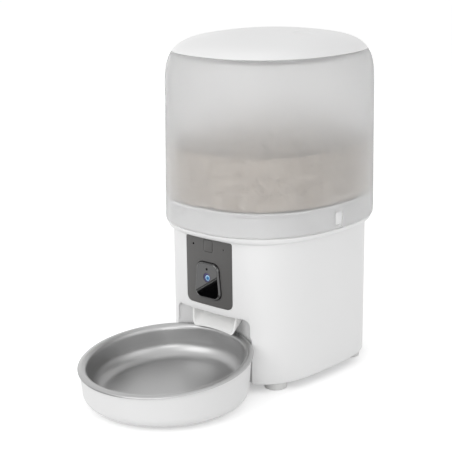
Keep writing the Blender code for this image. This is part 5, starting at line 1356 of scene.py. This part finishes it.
@dataclass
class Feet:
    """Four rubber pads with a soft edge and a shallow ring under them."""

    radius: float = 10.5 * MM
    height: float = 8.0 * MM
    edge: float = 0.8 * MM
    hollow: float = 0.4 * MM
    ring: Spot = (3.0 * MM, 2.6 * MM)
    places: Line = ((-53.2, -56.0), (53.2, -56.0), (-53.2, 57.0), (53.2, 57.0))

    def build(self, finish: Finish) -> None:
        """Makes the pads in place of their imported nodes."""
        edge, radius = self.edge, self.radius
        inner, outer = self.ring
        line = [(0, self.hollow), (radius - inner, self.hollow), (radius - outer, 0)]
        line += arc((radius - edge, edge), (edge, edge), -90, 0, 5) + [(radius, self.height), (0, self.height)]
        for number, (x, y) in enumerate(self.places, 1):
            pad = blank(f"rubber_pad_{number}", spun(line))
            place = Matrix.Translation(FEEDER + Vector((x * MM, y * MM, 0)))
            finished(pad, finish, "base", "rubber_grey", f"foot_{number}", place=place)


# Moulded ABS: a soft satin white, faintly warm, which takes broad highlights
WHITE_ABS = Finish(
    "abs_moulded_satin_white", "#ECECEC", "#E8E8E8", 0.38, ior=1.53, patch=90, grain=0.9, grain_depth=0.008
)
# The body's ABS painted a shade greyer on the tray, as painted shade that holds down the lamps' light there, with a
# finer grain that spreads the light
TRAY_WHITE_PAINTED_SHADE = Finish(
    "abs_satin_white_tray_painted_shade", "#E4E4E4", "#E0E0E0", 0.42, ior=1.53, patch=90, grain=0.7, grain_depth=0.008
)
# Food-grade polypropylene: a brighter, duller white; the extra brightness is painted light that keeps the chute
# light in its shaded recess
CHUTE_WHITE_PAINTED_LIGHT = Finish("white_chute_painted_light", "#F9F9F8", "#F5F5F4", 0.48, grain=0.8, grain_depth=0.008)
# Moulded polypropylene of the funnel behind the frosted wall: a duller white
WHITE_PP = Finish("polypropylene_moulded_white", "#E9E9E9", "#E4E4E4", 0.5, patch=70)
# Frosted copolyester: the light comes through as a haze, and the food behind it only darkens it
FROSTED_TANK = FrostedPlastic(
    "copolyester_moulded_frosted", "#F4F4F4", "#F1F1F1", 0.52, ior=1.3, patch=120, grain=0.5, passing=0.85
)
# Extruded dry food: small brown lumps, dull, no two quite the same
DRY_FOOD = Speckled(
    "dry_food_extruded_brown", "#C0B5A8", "#AC9F91", 0.85, patch=40, grain=0.7, grain_depth=0.15, cell=6.0
)
# Moulded ABS of the panel with a fine spark finish: dark grey that stays dull at every angle
PANEL_ABS = Finish(
    "abs_moulded_satin_graphite", "#585756", "#535251", 0.45, ior=1.53, patch=50, grain=0.5, grain_depth=0.012
)
# The same ABS on the button, its grain a little finer
BUTTON_ABS = Finish(
    "abs_moulded_graphite_button", "#575655", "#525150", 0.42, ior=1.53, patch=20, grain=0.4, grain_depth=0.01
)
# Polished polycarbonate: black that mirrors what stands round it
POD_GLOSS = Finish(
    "polycarbonate_polished_black", "#0B0B0C", "#0D0D0E", 0.09, ior=1.58, patch=30, grain=3.0, grain_depth=0.004,
    roughness_drift=0.02, coat=1.0, coat_ior=1.7,
)
# Polished acrylic of the pod's window: black, and glossier than the housing round it
WINDOW_GLOSS = Finish(
    "acrylic_polished_black", "#060607", "#080809", 0.05, patch=30, grain=3.0, grain_depth=0.003,
    roughness_drift=0.01, coat=1.0, coat_ior=1.7,
)
# Lens barrel: a violet grey with a fine turned bloom; the violet is a painted reflection of the lens coating round
# the glass
BARREL_VIOLET_PAINTED_REFLECTION = Finish("barrel_violet_painted_reflection", "#5C5684", "#4A4570", 0.3, patch=6, grain=0.3)
# Coated glass: a dark pupil in a blue ring with a painted pale cyan highlight ring, fading to violet at the rim
LENS_TINT_AND_PAINTED_GLINT_STOPS = (
    (0.0, "#2A5286"), (0.3, "#3A70A8"), (0.62, "#5E9CCB"), (0.76, "#C4F1F6"), (0.86, "#9CC8E4"), (0.94, "#6A5CA2"),
    (1.0, "#3A2F58"),
)
# Stainless steel turned against a pad: grey, with rings that pull each highlight into a fan
STEEL_SHADES = ("#BABABA", "#B1B1B1")
# Moulded rubber: pale grey, dull, with a dry bloom
RUBBER = Finish(
    "rubber_moulded_pale_grey", "#E2E2E1", "#DADAD9", 0.8, ior=1.52, patch=15, grain=0.4, grain_depth=0.02
)
# Moulded silicone of the lid's seal: milky grey, slightly greasy sheen
SILICONE = Finish("silicone_moulded_pale", "#C9CACB", "#C2C3C5", 0.5, ior=1.41, patch=25, grain=0.6)
# Softer silicone of the portion wheel: a little yellow, with a dull sheen
WHEEL_SILICONE = Finish("silicone_moulded_portion_wheel", "#D8D6CC", "#CFCDC2", 0.45, ior=1.41, patch=20, grain=0.6)
# Smoked acrylic of the light pipe: nearly black until it is lit, with a hard glint
LIGHT_PIPE = Finish(
    "acrylic_moulded_smoked", "#0A0A0B", "#101012", 0.12, ior=1.25, patch=5, grain=0.5, grain_depth=0.002
)
# Acetal: a creamy white with a waxy sheen
ACETAL = Finish("acetal_moulded_cream", "#E6E1D3", "#DDD8CA", 0.35, ior=1.48, patch=20, grain=0.5)
# Injection-moulded ABS behind the shell, left grey and unpolished
INNER_ABS = Finish(
    "abs_moulded_inner_grey", "#B9BABB", "#B1B2B3", 0.55, ior=1.53, patch=50, grain=0.6, grain_depth=0.015
)
# The same ABS coloured nearly black, for the inlet and the microphone
DARK_ABS = Finish("abs_moulded_dark", "#3A3B3D", "#343537", 0.5, ior=1.53, patch=30, grain=0.5, grain_depth=0.015)
# Solder-masked board: green with paler cells where copper lies below
CIRCUIT_BOARD = Speckled(
    "epoxy_board_solder_masked_green", "#1F5B3A", "#2F7A4E", 0.32, ior=1.52, patch=18, grain=0.3, cell=2.4
)
# Silicone-sleeved cable: a soft dark grey
CABLE = Finish("silicone_sleeved_cable_dark", "#2E2F31", "#38393B", 0.55, ior=1.43, patch=12, grain=0.4)
# Sintered bronze: a warm, porous, dull metal
BRONZE = Finish("bronze_sintered", "#A57B4A", "#8C6539", 0.42, metallic=1.0, patch=6, grain=0.25, grain_depth=0.02)
# Zinc-plated steel: bright and faintly blue, with drawn lines
ZINC_STEEL = DrawnMetal(
    "steel_zinc_plated", "#BFC3C7", "#A9AEB3", 0.3, metallic=1.0, patch=8, grain=0.4, grain_depth=0.01
)
# Drawn can of the gear motor
MOTOR_CAN = DrawnMetal(
    "steel_drawn_nickel_plated", "#B4B3AF", "#9F9E9A", 0.26, metallic=1.0, patch=14, grain=0.4, grain_depth=0.01
)
# Printed sleeve of a cell, without any marks
CELL_SLEEVE = Finish("battery_sleeve_shrunk_graphite", "#44474B", "#3C3F43", 0.3, patch=18, grain=0.5)
# Painted steel basket and paper cone of the speaker
SPEAKER_BLACK = Finish(
    "speaker_basket_painted_black", "#222224", "#2B2B2D", 0.45, patch=10, grain=0.5, grain_depth=0.02
)


def numbered(name: str, count: int) -> list[str]:
    """Returns the names of pieces that are counted from one."""
    return [f"{name}_{number}" for number in range(1, count + 1)]


INNER_FINISHES = {
    SILICONE: ("lid_seal",),
    INNER_ABS: (
        "desiccant_box", "desiccant_cover", "metering_housing", "metering_cover", "inner_frame",
        "bottom_plate", "battery_door", "battery_box",
    ),
    LIGHT_PIPE: ("indicator_lens",),
    DARK_ABS: ("power_inlet", "microphone"),
    ACETAL: ("agitator", "drive_gear", "motor_pinion"),
    WHEEL_SILICONE: ("rotor",),
    CABLE: ("camera_cable", "power_cable"),
    BRONZE: ("shaft_bush",),
    ZINC_STEEL: ("rotor_shaft", "drive_bracket", *numbered("base_screw", 4), *numbered("motor_screw", 2)),
    MOTOR_CAN: ("gear_motor",),
    CIRCUIT_BOARD: ("main_board", "button_board", "camera_board"),
    CELL_SLEEVE: numbered("battery", 3),
    SPEAKER_BLACK: ("speaker",),
}


@dataclass
class Studio:
    """A pale floor, a white surrounding, five soft lamps, a black card and the camera at the photo's angle."""

    floor_radius: float = 9.0
    floor_shades: tuple[str, str] = ("#F4F4F4", "#F1F1F1")
    floor_lift: float = 0.36
    sky: float = 0.74
    eye: Triple = (0.76465, -0.84694, 0.44253)
    target: Triple = (0.0, 0.06188, 0.1344)
    lens: float = 101.45
    sensor: float = 36.0
    shift: Spot = (-0.09895, 0.0)
    lamps: Sequence[tuple[str, Triple, float, float]] = (
        ("key", (-0.25, -1.7, 1.0), 1.3, 8.0),
        ("top", (0.1, 0.1, 1.8), 1.2, 0.6),
        ("side", (1.6, -0.3, 0.7), 1.0, 1.8),
        ("far_side", (-1.4, 0.8, 0.3), 0.9, 0.8),
        ("low_front", (1.0, -1.5, 0.3), 0.9, 4.5),
    )
    flag_reach: float = 0.25
    flag_size: float = 0.4
    flag_strip: float = 1.0 * MM
    flag_slit: float = 0.9 * MM
    flag_corner: Spot = (3.6 * MM, 100.6 * MM)
    flag_slope: float = 32.7
    flag_face: float = 3.0 * MM
    flag_shade: str = "#040404"

    def seen(self, tree: NodeTree) -> NodeSocket:
        """Returns 1 for a ray that the camera, a mirror or clear plastic sends out, and 0 for light."""
        rays = add_node(tree, "LightPath").outputs
        direct = add_node(tree, "Math", {0: rays["Is Camera Ray"], 1: rays["Is Glossy Ray"]}, operation="MAXIMUM")
        inputs = {0: direct.outputs[0], 1: rays["Is Transmission Ray"]}
        return add_node(tree, "Math", inputs, operation="MAXIMUM").outputs[0]

    def split(self, tree: NodeTree, unseen: Node, shown: Node) -> Node:
        """Mixes what light meets with what the eye meets."""
        return add_node(tree, "MixShader", {0: self.seen(tree), 1: unseen.outputs[0], 2: shown.outputs[0]})

    def build_world(self) -> None:
        """Lights the room with an even grey sky, which is white where it is looked at."""
        world = bpy.data.worlds.new("studio")
        world.use_nodes = True
        tree = world.node_tree
        tree.nodes.clear()
        light = add_node(tree, "Background", {"Color": WHITE, "Strength": self.sky})
        shown = add_node(tree, "Background", {"Color": WHITE, "Strength": 1.0})
        add_node(tree, "OutputWorld", {"Surface": self.split(tree, light, shown).outputs[0]})
        bpy.context.scene.world = world

    def build_floor(self) -> None:
        """Lays the floor, which glows a little to the eye alone so that it meets the white round it."""
        mesh = bmesh.new()
        bmesh.ops.create_circle(mesh, cap_ends=True, radius=self.floor_radius, segments=96)
        floor = blank("floor", outwards(mesh))
        made, tree, _ = opened("paper_sweep_white")
        tree.nodes.clear()
        point = add_node(tree, "TexCoord").outputs["Object"]
        cloud = add_node(tree, "TexNoise", {"Vector": point, "Scale": 3.0, "Detail": 2.0})
        matt = add_node(tree, "BsdfDiffuse", {"Color": blended(tree, cloud.outputs["Fac"], *self.floor_shades)})
        glow = add_node(tree, "Emission", {"Color": WHITE, "Strength": self.floor_lift})
        none = add_node(tree, "Emission", {"Color": BLACK, "Strength": 0.0})
        both = add_node(tree, "AddShader", {0: matt.outputs[0], 1: self.split(tree, none, glow).outputs[0]})
        add_node(tree, "OutputMaterial", {"Surface": both.outputs[0]})
        floor.data.materials.append(made)

    def hang(self, name: str, data: ID, place: Triple) -> Object:
        """Puts a lamp or a camera at a place and turns it to the feeder."""
        item = linked(name, data)
        item.location = place
        item.rotation_euler = (Vector(self.target) - item.location).to_track_quat("-Z", "Y").to_euler()
        return item

    def add_lamp(self, name: str, place: Triple, size: float, watts: float) -> None:
        """Hangs a soft square lamp that faces the feeder.

        Args:
            name: The lamp's name.
            place: Where it hangs.
            size: Its side in metres.
            watts: Its power.
        """
        data = bpy.data.lights.new(name, "AREA")
        data.shape, data.size, data.energy = "SQUARE", size, watts
        self.hang(name, data, place)

    def add_card(self, name: str, mesh: BMesh, shade: str) -> None:
        """Stands a matt card in the room that only gloss sees, to shape a reflection as photographers do.

        Args:
            name: The card's name.
            mesh: Its shape, in place.
            shade: Its colour.
        """
        card = blank(name, mesh)
        made, tree, shader = opened(name + "_matt_paper")
        feed(tree, shader, {"Base Color": linear(shade), "Roughness": 1.0, "Specular IOR Level": 0.0})
        card.data.materials.append(made)
        card.visible_camera = card.visible_diffuse = card.visible_shadow = card.visible_transmission = False

    def add_flag(self) -> None:
        """Holds the black card that halves the pod's gloss along a slanting line.

        Its edge lies where the line on the pod's face is seen mirrored, and it reaches down from there. A slit
        near the edge lets a thin bright line through.
        """
        x, z = self.flag_corner
        face = Vector((x, FEEDER_Y + FRONT - self.flag_face, z))
        sight = (face - Vector(self.eye)).normalized()
        mirrored = Vector((sight.x, -sight.y, sight.z))
        slope = math.radians(self.flag_slope)
        along = Vector((math.cos(slope), 0, math.sin(slope)))
        edge = (along - mirrored * along.dot(mirrored)).normalized()
        below = edge.cross(mirrored)
        below = below if below.z < 0 else -below
        middle, half = face + mirrored * self.flag_reach, self.flag_size / 2
        mesh = bmesh.new()
        for top, foot in ((0, self.flag_strip), (self.flag_strip + self.flag_slit, self.flag_size)):
            corners = box(-half, half, top, foot)
            mesh.faces.new([mesh.verts.new(middle + edge * right + below * down) for right, down in corners])
        self.add_card("black_flag", mesh, self.flag_shade)

    def add_camera(self) -> None:
        """Stands the camera at the photograph's place and shifts its frame as the photograph is cropped."""
        data = bpy.data.cameras.new("camera")
        data.lens, data.sensor_width = self.lens, self.sensor
        data.shift_x, data.shift_y = self.shift
        bpy.context.scene.camera = self.hang("camera", data, self.eye)

    def build(self) -> None:
        """Sets the whole studio up."""
        bpy.context.scene.view_settings.view_transform = "Standard"
        self.build_world()
        self.build_floor()
        for lamp in self.lamps:
            self.add_lamp(*lamp)
        self.add_flag()
        self.add_camera()


def dress_inner_nodes() -> None:
    """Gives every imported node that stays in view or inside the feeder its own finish."""
    for finish, names in INNER_FINISHES.items():
        material = finish.build()
        for name in names:
            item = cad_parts[name]
            for place in item.material_slots:
                place.material = material
            log.info("%s: packed solid with %s", name, finish.name)


def write_sizes() -> None:
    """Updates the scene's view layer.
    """
    bpy.context.view_layer.update()


def main() -> None:
    """Builds the feeder's visible pieces, dresses the rest and sets the studio up."""
    logging.basicConfig(level=logging.INFO, format="%(message)s")
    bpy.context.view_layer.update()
    form = TankForm()
    catches = [Catch(form, Side.RIGHT), Catch(form, Side.LEFT)]
    base, pod, chute, bowl = Base(form, catches), Pod(), Chute(), Bowl()
    panel = Panel(base)
    Lid(form).build(WHITE_ABS)
    tank = Tank(form, catches)
    tank.build_shell(FROSTED_TANK)
    tank.build_funnel(WHITE_PP)
    tank.build_food(DRY_FOOD)
    for catch in catches:
        catch.build(WHITE_ABS)
    base.build(WHITE_ABS, panel.cutters(), chute.block(chute.fit))
    panel.build(PANEL_ABS, BUTTON_ABS, pod.room())
    # The painted rings' middle sits a little off the lens's axis, so the painted highlight ring shows as a crescent
    # glint
    painted_glint_centre = (0.45 * MM, 0.0, pod.lens_height - 0.45 * MM)
    lens = CoatedLens(
        "glass_coated_painted_glint",
        "#0B1C3E",
        "#0B1C3E",
        0.04,
        ior=1.6,
        patch=3.0,
        centre=painted_glint_centre,
        stops=LENS_TINT_AND_PAINTED_GLINT_STOPS,
    )
    pod.build(POD_GLOSS, WINDOW_GLOSS, BARREL_VIOLET_PAINTED_REFLECTION, lens, LIGHT_PIPE)
    chute.build(CHUTE_WHITE_PAINTED_LIGHT)
    steel = SpunSteel(
        "stainless_steel_spun", *STEEL_SHADES, 0.36, metallic=1.0, grain_depth=0.006, roughness_drift=0.03,
        centre=tuple(bowl.centre), tilt=math.radians(bowl.tilt),
    )
    bowl.build(steel, TRAY_WHITE_PAINTED_SHADE)
    Feet().build(RUBBER)
    dress_inner_nodes()
    Studio().build()
    write_sizes()


if __name__ == "__main__":
    main()
